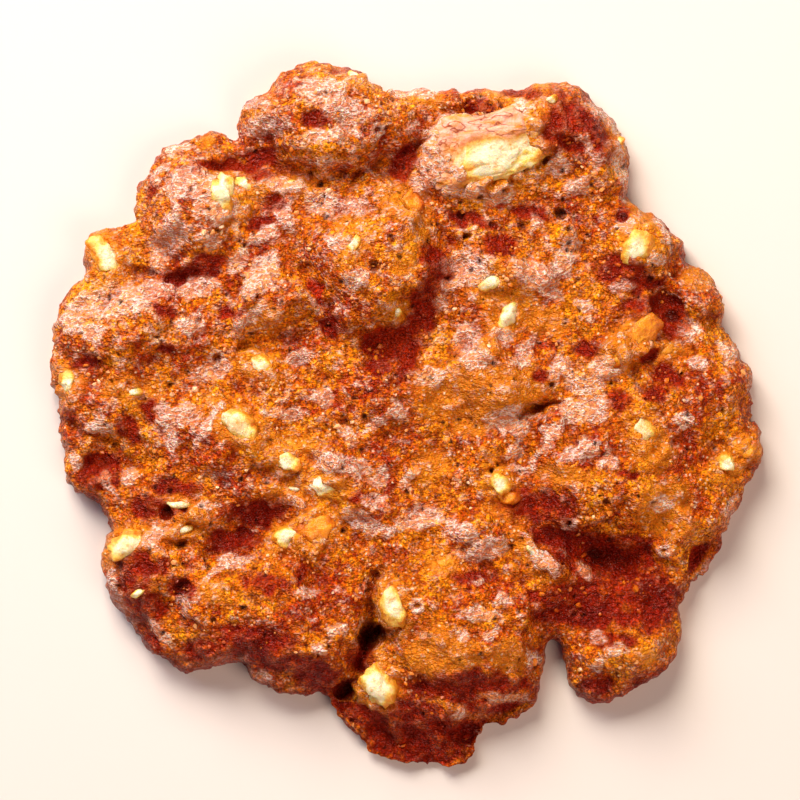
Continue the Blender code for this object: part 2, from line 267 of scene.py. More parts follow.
@dataclass(frozen=True)
class Relief:
    """Height of the baked top: a sheet with a rounded edge, lumps, creases, pits and waves.

    Attributes:
        edge_level: Height of the top at the very edge.
        edge_thickness: Thickness of the plain sheet just inside the edge.
        middle_thickness: Thickness of the plain sheet in the middle.
        thickening_run: How far inside the outline the sheet reaches its full thickness.
        rounding_run: Width of the rounded edge.
        rounding_power: Shape of the rounded edge, 2 for a quarter round, more for a boxier one.
        thinnest: Least thickness under a crease or a pit.
        lumps: (x, y, half length, half width, turn in degrees, height, softness of the sides).
        creases: (half width, depth, points along the crease).
        pits: (x, y, radius, depth) of the pits and broken bubbles.
        rings: (x, y, radius) of the small pores with a raised rim.
        waves: Unevenness of the top.
        warp: How far lumps and creases wander along X from their plain shapes.
        other_warp: How far they wander along Y.
        crease_even: Share of a crease's depth that it has everywhere.
        crease_waves: How its depth changes along it.
        pit_warp: How far a pit's edge wanders along X.
        other_pit_warp: How far it wanders along Y.
        pit_squash: How much shorter a pit is along Y than along X.
        lean: How much higher a lump is on its -Y side, where it ends in a steep face.
        doming: How much lower a lump's sides are than its middle, as a share.
    """

    edge_level: float = 1.3
    edge_thickness: float = 3.3
    middle_thickness: float = 4.4
    thickening_run: float = 9.0
    rounding_run: float = 2.1
    rounding_power: float = 2.4
    thinnest: float = 0.9
    lumps: tuple[tuple[float, ...], ...] = (
        (-6.8, 26.6, 8.6, 5.8, -4, 2.9, 0.60), (-3.0, 14.0, 6.9, 8.2, -8, 3.0, 0.65),
        (6.4, 23.4, 8.4, 4.8, 9, 1.2, 0.70), (5.4, 28.4, 6.0, 1.5, 2, 0.7, 0.80),
        (14.0, 26.0, 6.0, 4.6, -30, 1.5, 0.70), (17.0, 21.6, 2.4, 4.4, -8, 1.1, 0.80),
        (-18.8, 18.6, 6.6, 5.8, 30, 1.8, 0.60), (-23.4, 7.8, 9.6, 5.2, 10, 1.7, 0.70),
        (-14.0, 9.4, 5.6, 1.6, 58, 1.0, 0.90), (-10.4, 10.4, 3.6, 3.2, 20, 1.0, 0.80),
        (-25.4, 1.0, 5.4, 4.2, 0, 1.1, 0.80), (-16.5, -1.6, 8.5, 3.6, -22, 1.0, 0.90),
        (-4.4, -6.8, 8.6, 2.2, -34, 1.3, 0.90), (-1.5, 1.6, 8.0, 4.4, -8, 1.0, 0.90),
        (5.4, -10.2, 6.6, 1.9, -10, 1.0, 0.90), (11.4, -12.4, 3.6, 1.9, -42, 1.0, 0.80),
        (7.4, 3.4, 7.4, 4.6, -6, 1.7, 0.75), (9.0, 12.4, 7.6, 3.0, 8, 1.0, 0.90),
        (21.0, 14.6, 4.8, 5.2, -25, 1.4, 0.75), (19.6, 6.6, 5.4, 3.2, 35, 1.3, 0.75),
        (26.7, 10.8, 2.6, 3.2, 0, 0.8, 0.80), (27.0, 2.4, 4.2, 5.6, 0, 1.1, 0.80),
        (18.6, -3.8, 11.0, 7.8, 36, 1.9, 0.65), (25.6, -7.4, 4.4, 5.0, 20, 0.9, 0.80),
        (4.8, -18.6, 8.8, 8.4, -10, 1.9, 0.60), (18.8, -20.8, 5.4, 4.2, 10, 1.5, 0.70),
        (-12.6, -18.2, 10.4, 6.4, -10, 1.9, 0.60), (-19.0, -15.2, 3.6, 3.4, 0, 0.8, 0.80),
        (-23.4, -13.8, 4.2, 5.2, 15, 1.2, 0.80), (-18.6, -9.2, 4.0, 1.7, -5, 0.9, 0.80),
        (1.0, -30.4, 9.4, 4.6, 8, -2.2, 0.40), (-4.8, -27.8, 4.2, 2.8, -40, -1.7, 0.50),
        (8.4, -27.4, 4.4, 2.0, 12, -1.9, 0.50), (27.6, -13.2, 3.0, 3.8, -30, -2.0, 0.60),
        (17.6, -12.6, 6.2, 2.6, -20, -1.8, 0.90), (-27.4, -4.6, 2.8, 3.0, 0, -1.5, 0.90),
        (-14.6, -10.2, 6.6, 2.4, 8, -1.4, 0.90), (-12.6, 6.2, 5.2, 1.8, 10, -0.8, 0.90),
        (23.7, 8.7, 2.0, 2.2, 0, -1.3, 0.80),
    )
    creases: tuple[tuple[float, float, tuple[tuple[float, float], ...]], ...] = (
        (0.9, 0.9, ((-18.5, 22.4), (-12.5, 23.0), (-7.5, 21.6), (-2.0, 21.8), (1.0, 24.8))),
        (1.4, 0.6, ((3.2, 15.5), (3.5, 12.5), (2.0, 8.2), (-2.0, 6.4))),
        (0.6, 0.9, ((-9.3, 12.5), (-7.5, 10.0), (-6.4, 7.2))),
        (0.5, 0.7, ((-26.5, 12.8), (-21.5, 12.4), (-16.5, 12.8))),
        (0.4, 0.7, ((2.5, 27.1), (6.5, 26.8), (10.2, 27.3))),
        (0.9, 0.5, ((-15.2, 5.8), (-11.0, 6.8), (-7.5, 7.4))),
        (0.5, 0.7, ((-21.8, -11.8), (-17.5, -12.5), (-13.0, -12.0), (-10.0, -12.3))),
        (0.65, 1.5, ((-2.4, -14.8), (-2.9, -17.4), (-3.4, -20.2), (-4.4, -23.0), (-5.6, -25.6))),
        (0.45, 1.8, ((10.8, -0.2), (12.6, -0.4), (14.0, 0.5))),
        (0.5, 0.4, ((6.8, -5.2), (10.2, -2.8), (14.6, 2.4), (18.0, 5.0))),
        (1.0, 0.6, ((9.6, -9.4), (14.0, -10.8), (17.5, -12.6), (22.8, -13.6))),
        (0.4, 1.1, ((-9.5, -12.4), (-9.0, -13.8), (-9.2, -15.2))),
        (0.5, 0.6, ((-31.0, -0.6), (-28.5, -1.2), (-25.0, -4.6))),
        (0.5, 0.6, ((12.4, 24.6), (15.0, 24.2), (18.0, 24.8))),
    )
    pits: tuple[tuple[float, float, float, float], ...] = (
        (-3.0, -19.8, 1.4, 3.4), (-5.5, -24.8, 0.9, 1.6), (-20.0, -15.4, 0.60, 0.7),
        (-17.7, -13.6, 0.40, 0.6), (-20.2, -11.6, 0.50, 0.6), (-21.3, -8.7, 0.60, 0.8),
        (12.2, 22.6, 0.50, 0.9), (10.4, 21.8, 0.48, 0.8), (8.4, 20.1, 0.30, 0.5), (13.7, 17.9, 0.50, 0.9),
        (10.3, 16.8, 0.38, 0.6), (5.3, 15.9, 0.40, 0.7), (4.8, 17.7, 0.40, 0.5), (19.2, 17.7, 0.30, 0.4),
        (23.6, 8.8, 0.70, 0.6), (-15.1, 21.1, 0.30, 0.5), (-1.4, 15.7, 0.36, 0.6),
        (-3.0, 13.0, 0.45, 0.7), (7.5, -5.0, 0.35, 0.5), (17.7, -7.7, 0.30, 0.4),
        (16.7, -12.5, 0.70, 0.5),
    )
    rings: tuple[tuple[float, float, float], ...] = (
        (0.9, -17.0, 0.62), (15.0, -17.9, 0.55), (14.4, -9.8, 0.60), (22.9, -12.2, 0.58),
        (-2.5, 25.2, 0.60), (-17.0, 5.0, 0.62), (-18.6, 8.3, 0.55), (6.2, -14.6, 0.50),
    )
    waves: Waves = Waves(((6.5, 0.6), (2.9, 0.55), (1.5, 0.35)), 4.2)
    warp: Waves = Waves(((5.0, 1.8), (2.0, 0.5)), 8.3)
    other_warp: Waves = Waves(((5.0, 1.8), (2.0, 0.5)), 21.9)
    crease_even: float = 0.8
    crease_waves: Waves = Waves(((2.2, 0.7),), 55.0)
    pit_warp: Waves = Waves(((0.8, 0.3),), 83.0)
    other_pit_warp: Waves = Waves(((0.8, 0.3),), 87.0)
    pit_squash: float = 1.3
    lean: float = 0.4
    doming: float = 0.3

    def lump(self, x: Array, y: Array, shape: Sequence[float]) -> Array:
        """Height that one lump adds.

        Args:
            x: X of the points.
            y: Y of the points.
            shape: One row of the table of lumps.

        Returns:
            One height for each point.
        """
        *place, height, softness = shape
        u, v = turned_place(x, y, place)
        side = np.clip((1.0 - np.hypot(u, v)) / softness, 0.0, 1.0)
        leaning = 1 - self.lean * (y - place[1]) / max(place[2], place[3])
        domed = 1 - self.doming * (u * u + v * v)
        return height * side * side * (3 - 2 * side) * domed * leaning

    @staticmethod
    def distance_to_line(x: Array, y: Array, points: Sequence[tuple[float, float]]) -> Array:
        """Distance from points to a line.

        Args:
            x: X of the points.
            y: Y of the points.
            points: Corners of the line.

        Returns:
            One distance for each point, to the nearest stretch.
        """
        nearest = np.full(len(x), np.inf)
        for (ax, ay), (bx, by) in zip(points, points[1:]):
            dx, dy = bx - ax, by - ay
            along = np.clip(((x - ax) * dx + (y - ay) * dy) / (dx * dx + dy * dy), 0.0, 1.0)
            distance = np.hypot(x - ax - along * dx, y - ay - along * dy)
            nearest = np.minimum(nearest, distance)
        return nearest

    def over_sheet(self, x: Array, y: Array) -> Array:
        """Height of the relief over the plain sheet.

        Args:
            x: X of the points.
            y: Y of the points.

        Returns:
            One height for each point.
        """
        wx = x + self.warp.flat(x, y)
        wy = y + self.other_warp.flat(x, y)
        z = self.waves.flat(x, y)
        for shape in self.lumps:
            z += self.lump(wx, wy, shape)
        uneven = self.crease_even + self.crease_waves.flat(x, y)
        for half_width, depth, points in self.creases:
            near = np.exp(-((self.distance_to_line(wx, wy, points) / half_width) ** 2))
            z -= depth * near * uneven
        fx = x + self.pit_warp.flat(x, y)
        fy = y + self.other_pit_warp.flat(x, y)
        for px, py, radius, depth in self.pits:
            away = np.hypot(fx - px, self.pit_squash * (fy - py))
            z -= depth * np.exp(-((away / radius) ** 4))
        return z

    def top(self, x: Array, y: Array, inside: Array) -> Array:
        """Height of the baked top.

        Args:
            x: X of the points.
            y: Y of the points.
            inside: Their depth inside the outline.

        Returns:
            One height for each point.
        """
        inside = np.maximum(inside, 0.0)
        run = np.minimum(1.0, inside / self.thickening_run)
        rise = self.middle_thickness - self.edge_thickness
        thickness = self.edge_thickness + rise * run * (2 - run)
        full = np.maximum(self.thinnest, thickness + self.over_sheet(x, y))
        short = 1.0 - np.minimum(1.0, inside / self.rounding_run)
        round_up = (1.0 - short**self.rounding_power) ** (1.0 / self.rounding_power)
        low = np.minimum(self.edge_level, full)
        return low + (full - low) * round_up


# Dry, pale glaze on the crests and in the smears, with painted sheen where the top would catch the light.
# Each row is one patch, as Patches says.
GLAZE_AND_SHEEN = Patches(
    (
        (-7.4, 28.9, 1.8, 1.0, 0), (-5.6, 26.9, 2.0, 1.2, -20), (-6.8, 24.7, 2.2, 0.6, 5),
        (-13.7, 27.7, 1.2, 0.6, 0), (-20.0, 20.6, 1.6, 1.2, 20), (-18.2, 19.6, 1.9, 0.8, 80),
        (-20.4, 23.8, 1.3, 0.5, 20), (-22.2, 21.5, 1.2, 0.5, 60), (-20.8, 17.0, 2.2, 0.45, 80),
        (-22.2, 13.9, 1.2, 0.8, 60), (-17.7, 15.4, 1.2, 0.4, -20), (-11.3, 20.4, 1.8, 0.6, -10),
        (-11.0, 17.7, 1.4, 0.7, -60), (-12.8, 16.1, 1.4, 0.6, 30), (-13.0, 12.5, 2.2, 1.1, 55),
        (-15.0, 13.6, 1.2, 0.6, 50), (-14.3, 8.4, 2.6, 0.4, 45), (-18.9, 11.3, 1.9, 0.9, 15),
        (-26.3, 10.0, 3.6, 1.4, 8), (-22.5, 11.4, 1.5, 0.7, -10), (-29.7, 8.2, 1.2, 1.0, 0),
        (-27.9, 7.3, 1.2, 0.8, 0), (-19.5, 7.8, 1.2, 0.8, 0), (-17.7, 3.7, 1.7, 0.8, 10),
        (-9.6, 5.1, 0.9, 0.7, 30), (-4.5, 18.4, 1.2, 0.8, 0), (-7.4, 18.8, 1.6, 0.9, 0),
        (-6.2, 15.2, 0.8, 0.6, 0), (-4.5, 11.8, 1.1, 0.8, 40), (2.7, 24.7, 1.2, 0.9, 0),
        (4.3, 26.0, 1.8, 0.8, 10), (3.4, 21.5, 1.9, 1.4, 20), (10.2, 27.4, 1.0, 0.7, 0),
        (19.2, 22.0, 2.6, 0.6, -80), (17.8, 26.5, 2.0, 0.5, -45), (16.0, 23.8, 1.1, 0.5, -60),
        (16.6, 22.0, 1.1, 0.5, 60), (13.3, 22.0, 0.9, 0.8, 0), (8.4, 19.5, 1.3, 0.7, 25),
        (11.5, 17.2, 0.8, 0.6, 0), (14.0, 13.9, 2.0, 0.9, 60), (11.5, 12.5, 2.0, 0.9, -20),
        (5.2, 13.0, 1.9, 1.4, 0), (12.0, 11.2, 1.7, 0.6, -20), (3.9, 11.6, 1.2, 0.5, 0),
        (3.0, 10.0, 0.7, 0.5, 0), (5.4, 6.9, 1.3, 1.2, 0), (6.1, 4.9, 1.7, 0.8, -10),
        (10.4, 5.3, 1.1, 0.7, 60), (15.6, 9.8, 0.8, 0.6, 0), (17.6, 4.0, 1.4, 1.0, 0),
        (13.8, 4.0, 1.0, 1.0, 0), (16.0, 2.6, 1.6, 0.9, 0), (19.4, 16.8, 0.9, 0.6, 0),
        (22.3, 13.6, 0.6, 0.5, 0), (19.2, 11.4, 1.0, 0.5, 0), (25.2, 7.6, 1.0, 1.0, 0),
        (25.9, 4.6, 0.9, 0.7, 0), (28.6, 5.5, 1.2, 0.7, -60), (2.1, 3.3, 1.2, 0.8, 0),
        (0.5, 28.7, 2.2, 0.4, 0), (23.0, 16.1, 1.8, 0.4, -60), (-21.6, 0.1, 1.2, 0.8, -60),
        (-21.1, -2.1, 1.4, 0.5, 90), (-19.5, -0.1, 1.0, 1.0, 0), (-17.7, -0.8, 2.0, 0.4, 60),
        (-27.6, -1.0, 1.2, 0.8, 0), (-29.7, -4.1, 0.7, 0.6, 0), (-26.7, -6.2, 1.4, 0.5, -70),
        (-24.9, -5.5, 0.7, 0.6, 0), (-17.7, -8.2, 1.0, 0.4, 0), (-15.5, -13.1, 1.6, 0.5, 5),
        (-17.5, -14.3, 1.0, 0.4, 30), (-22.5, -10.9, 1.3, 0.5, 45), (-20.0, -17.0, 0.8, 0.8, 0),
        (-10.5, 0.1, 1.8, 0.5, 0), (-7.4, 1.5, 0.9, 0.8, 0), (-6.3, -4.4, 1.8, 0.8, -15),
        (-4.2, -4.6, 0.9, 0.9, 0), (-2.2, -5.7, 0.9, 0.9, 0), (-5.4, -1.7, 1.1, 0.5, -40),
        (-4.2, -9.5, 1.6, 0.7, -25), (-2.0, -10.4, 1.0, 0.6, 0), (-10.5, -7.7, 1.2, 0.4, -15),
        (-3.1, -1.0, 1.6, 0.35, 30), (-6.0, -19.2, 0.8, 0.6, 0), (-7.8, -21.0, 0.7, 0.6, 0),
        (-9.0, -15.8, 0.9, 0.5, 0), (-26.1, -15.6, 2.0, 0.4, -75), (-22.1, -19.6, 1.8, 0.5, -45),
        (-15.7, -22.1, 1.6, 0.6, 0), (-13.0, -23.5, 1.2, 0.5, -45), (9.8, -1.0, 1.2, 0.8, 0),
        (12.9, -1.4, 1.0, 0.8, 0), (14.4, 0.4, 0.7, 1.0, 0), (12.6, -2.4, 4.4, 0.35, 55),
        (10.3, -4.9, 0.9, 0.4, 0), (9.6, -3.5, 0.7, 0.6, 0), (1.7, -9.0, 1.7, 0.9, 0),
        (0.2, -9.8, 1.4, 0.5, 0), (4.8, -10.4, 1.5, 0.9, -10), (7.5, -11.9, 1.5, 0.9, 0),
        (5.5, -12.5, 1.3, 0.5, 0), (12.0, -13.0, 1.5, 0.8, -42), (6.5, -17.8, 1.6, 0.6, 0),
        (7.7, -19.4, 0.9, 0.4, 30), (5.1, -19.8, 0.5, 0.5, 0), (8.6, -16.6, 0.8, 0.5, 0),
        (15.8, -14.0, 1.0, 0.5, -65), (18.6, -20.8, 1.3, 0.5, -5), (17.0, -19.9, 0.8, 0.6, 0),
        (17.0, -22.5, 0.6, 0.5, 0), (17.9, -4.0, 1.0, 0.8, 0), (24.6, -0.6, 0.8, 0.8, 0),
        (22.7, -8.0, 1.0, 0.6, 0), (28.9, -8.7, 1.4, 0.4, 70), (26.7, -14.2, 1.4, 0.5, 60),
        (8.9, -25.4, 2.6, 0.45, -5), (4.8, -26.8, 0.9, 0.5, 40), (0.3, -5.6, 1.2, 0.45, 50),
        (2.2, 22.8, 1.8, 0.9, 80), (1.4, 20.8, 1.2, 0.8, 0), (16.4, 0.6, 1.8, 1.2, 30),
        (-13.2, 25.6, 1.5, 0.9, 0), (-20.8, 15.8, 1.6, 1.1, 60), (9.2, -0.5, 2.0, 1.0, 0),
        (11.3, -21.8, 0.9, 0.7, 0), (8.6, 6.9, 0.8, 0.7, 0), (5.4, 20.0, 1.6, 0.7, 0),
        (-21.2, 15.6, 2.2, 1.3, 60), (-0.8, 0.4, 1.0, 0.7, 0), (-2.9, -7.6, 1.1, 0.7, 0),
        (-16.2, 18.0, 1.8, 0.8, 10), (15.4, -3.3, 1.6, 0.9, 20), (15.2, 20.3, 1.2, 0.8, 0),
    ),
    101.0,
)

# Smooth, clear dough that syrup has soaked.
SOAKED = Patches(
    (
        (-15.3, 18.6, 1.5, 1.1, 0), (-13.2, 27.1, 1.0, 0.8, 0), (-17.7, 24.2, 0.8, 0.8, 0),
        (-1.1, 19.7, 1.4, 1.0, 0), (-5.6, 17.2, 1.0, 0.7, 0), (2.5, 27.8, 1.5, 0.7, 0),
        (8.1, 28.7, 1.5, 0.6, 0), (11.3, 29.4, 1.7, 0.6, -10), (1.2, 16.2, 1.2, 1.7, 0),
        (-0.2, 13.2, 1.2, 1.2, 0), (7.7, 10.3, 2.0, 0.9, -20), (12.2, 8.3, 2.4, 1.2, -10),
        (8.2, 2.6, 2.6, 1.0, 0), (26.1, 12.3, 1.6, 1.2, 0), (-10.3, -3.0, 1.7, 1.0, 0),
        (-7.6, -5.9, 1.5, 1.0, 20), (-17.5, -15.6, 1.2, 1.2, 0), (-14.6, -1.6, 2.0, 1.2, -30),
        (-12.6, 8.6, 1.4, 1.2, 30), (8.6, -8.3, 1.6, 0.9, 10), (14.0, -5.4, 2.6, 0.8, -8),
        (2.2, -20.6, 1.8, 1.8, 0), (5.3, -22.0, 1.6, 1.0, 0), (9.1, -21.6, 1.6, 1.6, 0),
        (21.2, -21.6, 1.3, 0.7, -20), (5.6, -1.1, 2.0, 0.9, 0), (2.4, -4.6, 1.6, 1.4, 0),
        (23.9, -9.9, 1.6, 1.2, 0), (20.9, 18.2, 1.4, 0.8, -30), (5.6, 1.8, 5.0, 2.8, 0),
        (9.6, 2.2, 3.0, 2.4, -20), (3.0, -21.4, 3.4, 2.2, 0), (22.8, -8.2, 2.6, 2.2, 20),
        (-0.6, 19.2, 2.2, 1.6, 0), (9.2, 9.2, 2.6, 1.2, 20), (21.4, -3.2, 2.2, 1.6, -45),
        (19.6, 6.4, 3.4, 1.6, 40),
    ),
    131.0,
)

# Hollows and slopes that lie in shade, with the shade painted into their colour as dense, dark dough.
SHADED = Patches(
    (
        (-13.2, 22.9, 1.3, 0.8, 0), (-16.4, 22.2, 2.6, 0.5, 0), (-11.7, 19.0, 1.0, 0.5, -30),
        (-13.2, 17.0, 1.2, 0.5, 25), (-18.0, 13.2, 2.0, 0.8, 15), (-20.7, 12.2, 0.9, 0.5, 0),
        (-8.0, 10.7, 1.3, 0.6, -65), (-6.7, 7.8, 1.1, 0.9, 0), (-1.6, 6.4, 2.6, 1.4, 0),
        (-28.5, 4.6, 1.6, 0.7, 10), (-21.5, 5.8, 0.8, 0.6, 0), (-22.9, 20.2, 0.9, 0.5, 80),
        (-21.5, 9.1, 0.9, 0.7, 0), (-15.7, 8.9, 1.0, 0.5, 0), (15.4, 26.3, 3.6, 1.3, -42),
        (13.1, 25.0, 1.8, 1.1, -70), (11.0, 17.9, 1.8, 0.6, -5), (8.1, 15.0, 1.4, 1.0, 0),
        (2.6, 13.4, 2.0, 1.1, -60), (1.6, 9.8, 2.9, 1.2, 88), (0.0, 6.0, 2.6, 1.4, 80),
        (18.5, 13.6, 0.9, 0.8, 0), (21.1, 9.6, 1.9, 0.9, 0), (23.7, 8.6, 1.4, 1.9, 0),
        (16.0, 5.9, 1.0, 0.9, 0), (21.6, 5.2, 1.0, 0.4, 40), (22.8, 3.3, 0.9, 0.7, 0),
        (12.0, 3.3, 0.8, 0.6, 0), (6.3, 27.4, 1.5, 0.7, 0), (4.8, 17.4, 0.9, 0.7, 0),
        (19.4, 17.9, 0.9, 0.4, 25), (-24.7, -1.4, 1.6, 0.9, -60), (-27.4, -4.6, 2.0, 1.2, 20),
        (-21.3, -8.6, 1.5, 0.8, 0), (-23.1, -8.2, 1.8, 1.1, 0), (-13.7, -8.9, 2.5, 1.1, 0),
        (-15.3, -11.3, 2.4, 0.9, 0), (-20.1, -15.4, 1.4, 1.0, 0), (-24.0, -13.4, 1.6, 1.5, 0),
        (-23.1, -17.4, 1.6, 1.1, 0), (-9.4, -14.3, 1.1, 0.6, 90), (-13.7, -20.2, 4.2, 1.4, -5),
        (-17.7, -21.0, 2.4, 1.1, 0), (-7.6, -24.0, 2.6, 1.2, -30), (-4.0, -21.7, 1.3, 1.3, 0),
        (-4.2, -7.5, 1.4, 0.6, 0), (-3.4, -27.0, 2.4, 0.8, -15), (11.2, -8.4, 2.8, 1.1, -10),
        (12.8, -11.0, 1.8, 0.9, -20), (16.9, -12.6, 2.8, 1.5, -15), (20.0, -14.8, 2.8, 1.2, -8),
        (20.3, -11.6, 1.7, 0.8, 0), (26.0, -12.9, 1.8, 0.6, 60), (15.2, -16.0, 3.0, 1.2, 0),
        (18.6, -17.4, 3.2, 1.2, 0), (22.2, -17.4, 1.8, 1.8, 0), (10.5, -24.4, 1.8, 0.7, 0),
        (5.6, -23.8, 3.4, 1.0, 0), (7.2, -26.2, 2.8, 0.9, 10), (4.1, -28.0, 2.2, 1.1, 30),
        (0.6, -26.8, 2.6, 1.3, 0), (3.2, -30.6, 1.4, 0.9, 0), (16.5, -24.6, 1.8, 0.9, 0),
        (5.6, -14.4, 1.5, 0.5, 0), (11.7, -16.3, 0.9, 0.6, 0), (19.6, -5.4, 0.9, 0.4, 0),
        (15.2, 25.4, 3.4, 2.0, -45), (1.4, -29.4, 5.4, 2.6, 5), (-3.0, -27.8, 3.2, 1.3, -35),
        (-14.6, -21.8, 6.6, 1.3, -3), (-8.2, -23.2, 3.4, 1.5, -25), (-23.8, -16.4, 2.8, 1.6, -60),
        (-27.6, -5.4, 2.3, 1.7, 30), (17.4, -12.6, 4.6, 2.2, -15), (19.4, -15.6, 5.0, 2.0, -10),
        (11.6, -8.2, 3.4, 1.5, -10), (19.4, 12.4, 2.8, 1.6, -20), (21.6, -16.8, 3.4, 2.6, 10),
        (16.0, -17.6, 4.4, 1.6, 0), (5.4, -24.4, 5.0, 1.4, 0), (23.2, 3.4, 1.5, 1.0, -40),
        (-0.3, 22.3, 1.0, 1.8, -10), (-12.5, -15.1, 2.2, 1.1, 0), (-22.9, -20.8, 1.9, 0.8, -45),
        (1.9, -31.3, 2.4, 0.9, 5), (10.2, 29.0, 2.0, 0.8, -10), (-8.2, 26.2, 1.2, 0.7, 0),
        (-5.6, 30.7, 1.8, 0.5, 0), (-22.1, -13.6, 1.2, 0.9, 0), (-2.6, 4.3, 1.4, 0.9, 0),
        (18.9, 1.2, 1.2, 0.9, 0), (6.6, 17.2, 1.8, 0.6, -20), (-20.6, -6.6, 2.2, 0.7, 0),
        (-14.3, 28.0, 1.6, 0.7, -20), (-22.7, 0.4, 1.2, 0.9, 0), (22.2, 2.0, 1.3, 1.0, 0),
        (-5.6, -26.6, 1.6, 0.8, -40), (-13.3, 21.4, 1.4, 0.8, 0), (18.3, -20.0, 2.2, 0.9, -5),
    ),
    151.0,
)


class Bit(Enum):
    """What a chopped bit in the dough is."""

    NUT = "nut"
    MELON = "melon"


@dataclass(frozen=True)
class Placed:
    """One chopped bit in the dough.

    Attributes:
        x: Middle of the bit.
        y: Middle of the bit.
        length: Full length.
        width: Full width.
        turn: Turn of the length, in degrees from +X.
        height: Full height.
        proud: Share of the height that stands above the dough.
        kind: What the bit is.
    """

    x: float
    y: float
    length: float
    width: float
    turn: float
    height: float
    proud: float
    kind: Bit = Bit.NUT


# The one bit as large as a berry, which has its own solid and socket in the frame.
CHUNK = Placed(7.3, 23.7, 9.8, 6.2, 3, 2.7, 0.34)

# The smaller bits, from the frame's and from the slivers and seeds that are too small for it.
BITS = (
    Placed(20.5, 15.0, 4.2, 2.5, 62, 2.2, 0.52),
    Placed(-16.4, 19.6, 4.2, 2.6, 84, 2.0, 0.52),
    Placed(-14.6, 20.6, 2.2, 1.4, -30, 1.5, 0.42),
    Placed(-27.0, 14.4, 4.2, 2.3, 122, 2.1, 0.60),
    Placed(-30.3, 2.8, 2.1, 1.7, 60, 1.6, 0.50),
    Placed(-14.9, -1.0, 4.9, 2.3, -32, 1.8, 0.42),
    Placed(-13.2, 4.3, 2.7, 1.7, -20, 1.4, 0.42),
    Placed(-10.5, -4.2, 2.3, 2.0, 0, 2.0, 0.72),
    Placed(-7.6, -6.4, 3.6, 1.9, -20, 1.7, 0.60),
    Placed(-10.8, -11.0, 3.0, 1.9, 35, 1.8, 0.55),
    Placed(-8.3, -10.2, 3.8, 2.9, 35, 1.7, 0.36, Bit.MELON),
    Placed(-10.3, -2.9, 2.4, 1.6, -10, 1.4, 0.30, Bit.MELON),
    Placed(-8.2, -5.6, 2.6, 1.3, -20, 1.3, 0.30, Bit.MELON),
    Placed(-20.2, -8.1, 2.9, 1.1, -4, 1.3, 0.50),
    Placed(-24.8, -11.6, 3.9, 2.2, 22, 2.0, 0.55),
    Placed(-2.7, -24.2, 4.5, 3.3, -75, 2.8, 0.62),
    Placed(-1.3, -17.0, 4.1, 2.1, -76, 2.0, 0.50),
    Placed(8.2, -6.2, 2.4, 1.9, -60, 1.8, 0.55),
    Placed(8.9, -7.4, 2.1, 1.5, -30, 1.4, 0.50, Bit.MELON),
    Placed(3.5, -13.1, 1.9, 1.5, 0, 1.3, 0.40, Bit.MELON),
    Placed(21.1, -1.6, 2.9, 2.0, -50, 1.8, 0.50),
    Placed(21.9, -2.9, 2.6, 2.2, -40, 1.4, 0.38, Bit.MELON),
    Placed(28.6, -4.4, 1.8, 1.7, 0, 1.7, 0.60),
    Placed(30.4, -3.2, 2.4, 1.6, 25, 1.6, 0.40, Bit.MELON),
    Placed(9.0, 8.6, 3.7, 1.7, 55, 1.6, 0.48),
    Placed(7.5, 11.8, 2.6, 1.5, 30, 1.4, 0.48),
    Placed(20.7, 7.0, 4.9, 2.8, 45, 1.5, 0.35, Bit.MELON),
    Placed(18.8, 5.0, 1.8, 1.4, 80, 1.3, 0.40, Bit.MELON),
    Placed(23.2, 5.8, 1.8, 1.5, 0, 1.3, 0.40, Bit.MELON),
    Placed(0.2, 18.9, 2.9, 2.2, -60, 1.6, 0.30, Bit.MELON),
    Placed(6.6, 20.3, 3.2, 1.2, -6, 1.3, 0.36),
    Placed(-4.8, 15.0, 2.0, 1.1, 60, 1.2, 0.40),
    Placed(-1.1, 9.0, 1.1, 0.9, 30, 1.0, 0.50),
    Placed(-4.7, 30.2, 1.4, 0.8, -25, 1.0, 0.40),
    Placed(12.9, 27.9, 1.2, 1.1, 0, 1.0, 0.40),
    Placed(18.8, 24.4, 1.3, 1.1, 60, 1.1, 0.40),
    Placed(11.1, -12.2, 1.9, 0.9, -58, 1.1, 0.40),
    Placed(-10.2, 20.5, 1.9, 0.9, 0, 1.0, 0.35),
    Placed(-24.4, 2.1, 2.2, 0.9, -8, 1.0, 0.40),
    Placed(7.2, 5.8, 1.1, 0.9, 20, 1.0, 0.40),
    Placed(-20.0, -10.3, 2.2, 0.8, 12, 1.0, 0.40),
    Placed(-23.8, -15.8, 1.7, 0.7, 35, 0.9, 0.40),
    Placed(-10.0, -6.7, 1.9, 0.7, 5, 0.9, 0.40),
    Placed(18.9, 6.0, 1.3, 1.0, 80, 1.1, 0.40),
)


def linear(colour: str) -> tuple[float, float, float, float]:
    """An sRGB hex colour as linear values.

    Args:
        colour: Six hex digits.

    Returns:
        Linear red, green and blue, and a full alpha.
    """
    channels = [int(colour[k : k + 2], 16) / 255 for k in (0, 2, 4)]
    red, green, blue = (
        c / 12.92 if c <= 0.04045 else ((c + 0.055) / 1.055) ** 2.4 for c in channels
    )
    return red, green, blue, 1.0


def per_size(size: float) -> float:
    """Texture scale that makes a pattern's cell this many millimetres wide."""
    return 1.0 / (size * MM)


def add_node(
    tree: Tree,
    kind: str,
    settings: Mapping[str, object] | None = None,
    values: Mapping[str | int, object] | None = None,
    links: Mapping[str | int, Socket] | None = None,
) -> bpy.types.Node:
    """Adds a node with its settings, socket values and links.

    Args:
        tree: Node tree that gets the node.
        kind: Blender's name for the kind of node.
        settings: Properties of the node.
        values: Values of its input sockets.
        links: Output sockets that feed its input sockets.

    Returns:
        The new node.
    """
    node = tree.nodes.new(kind)
    for name, value in (settings or {}).items():
        setattr(node, name, value)
    for name, value in (values or {}).items():
        node.inputs[name].default_value = value
    for name, source in (links or {}).items():
        tree.links.new(source, node.inputs[name])
    return node


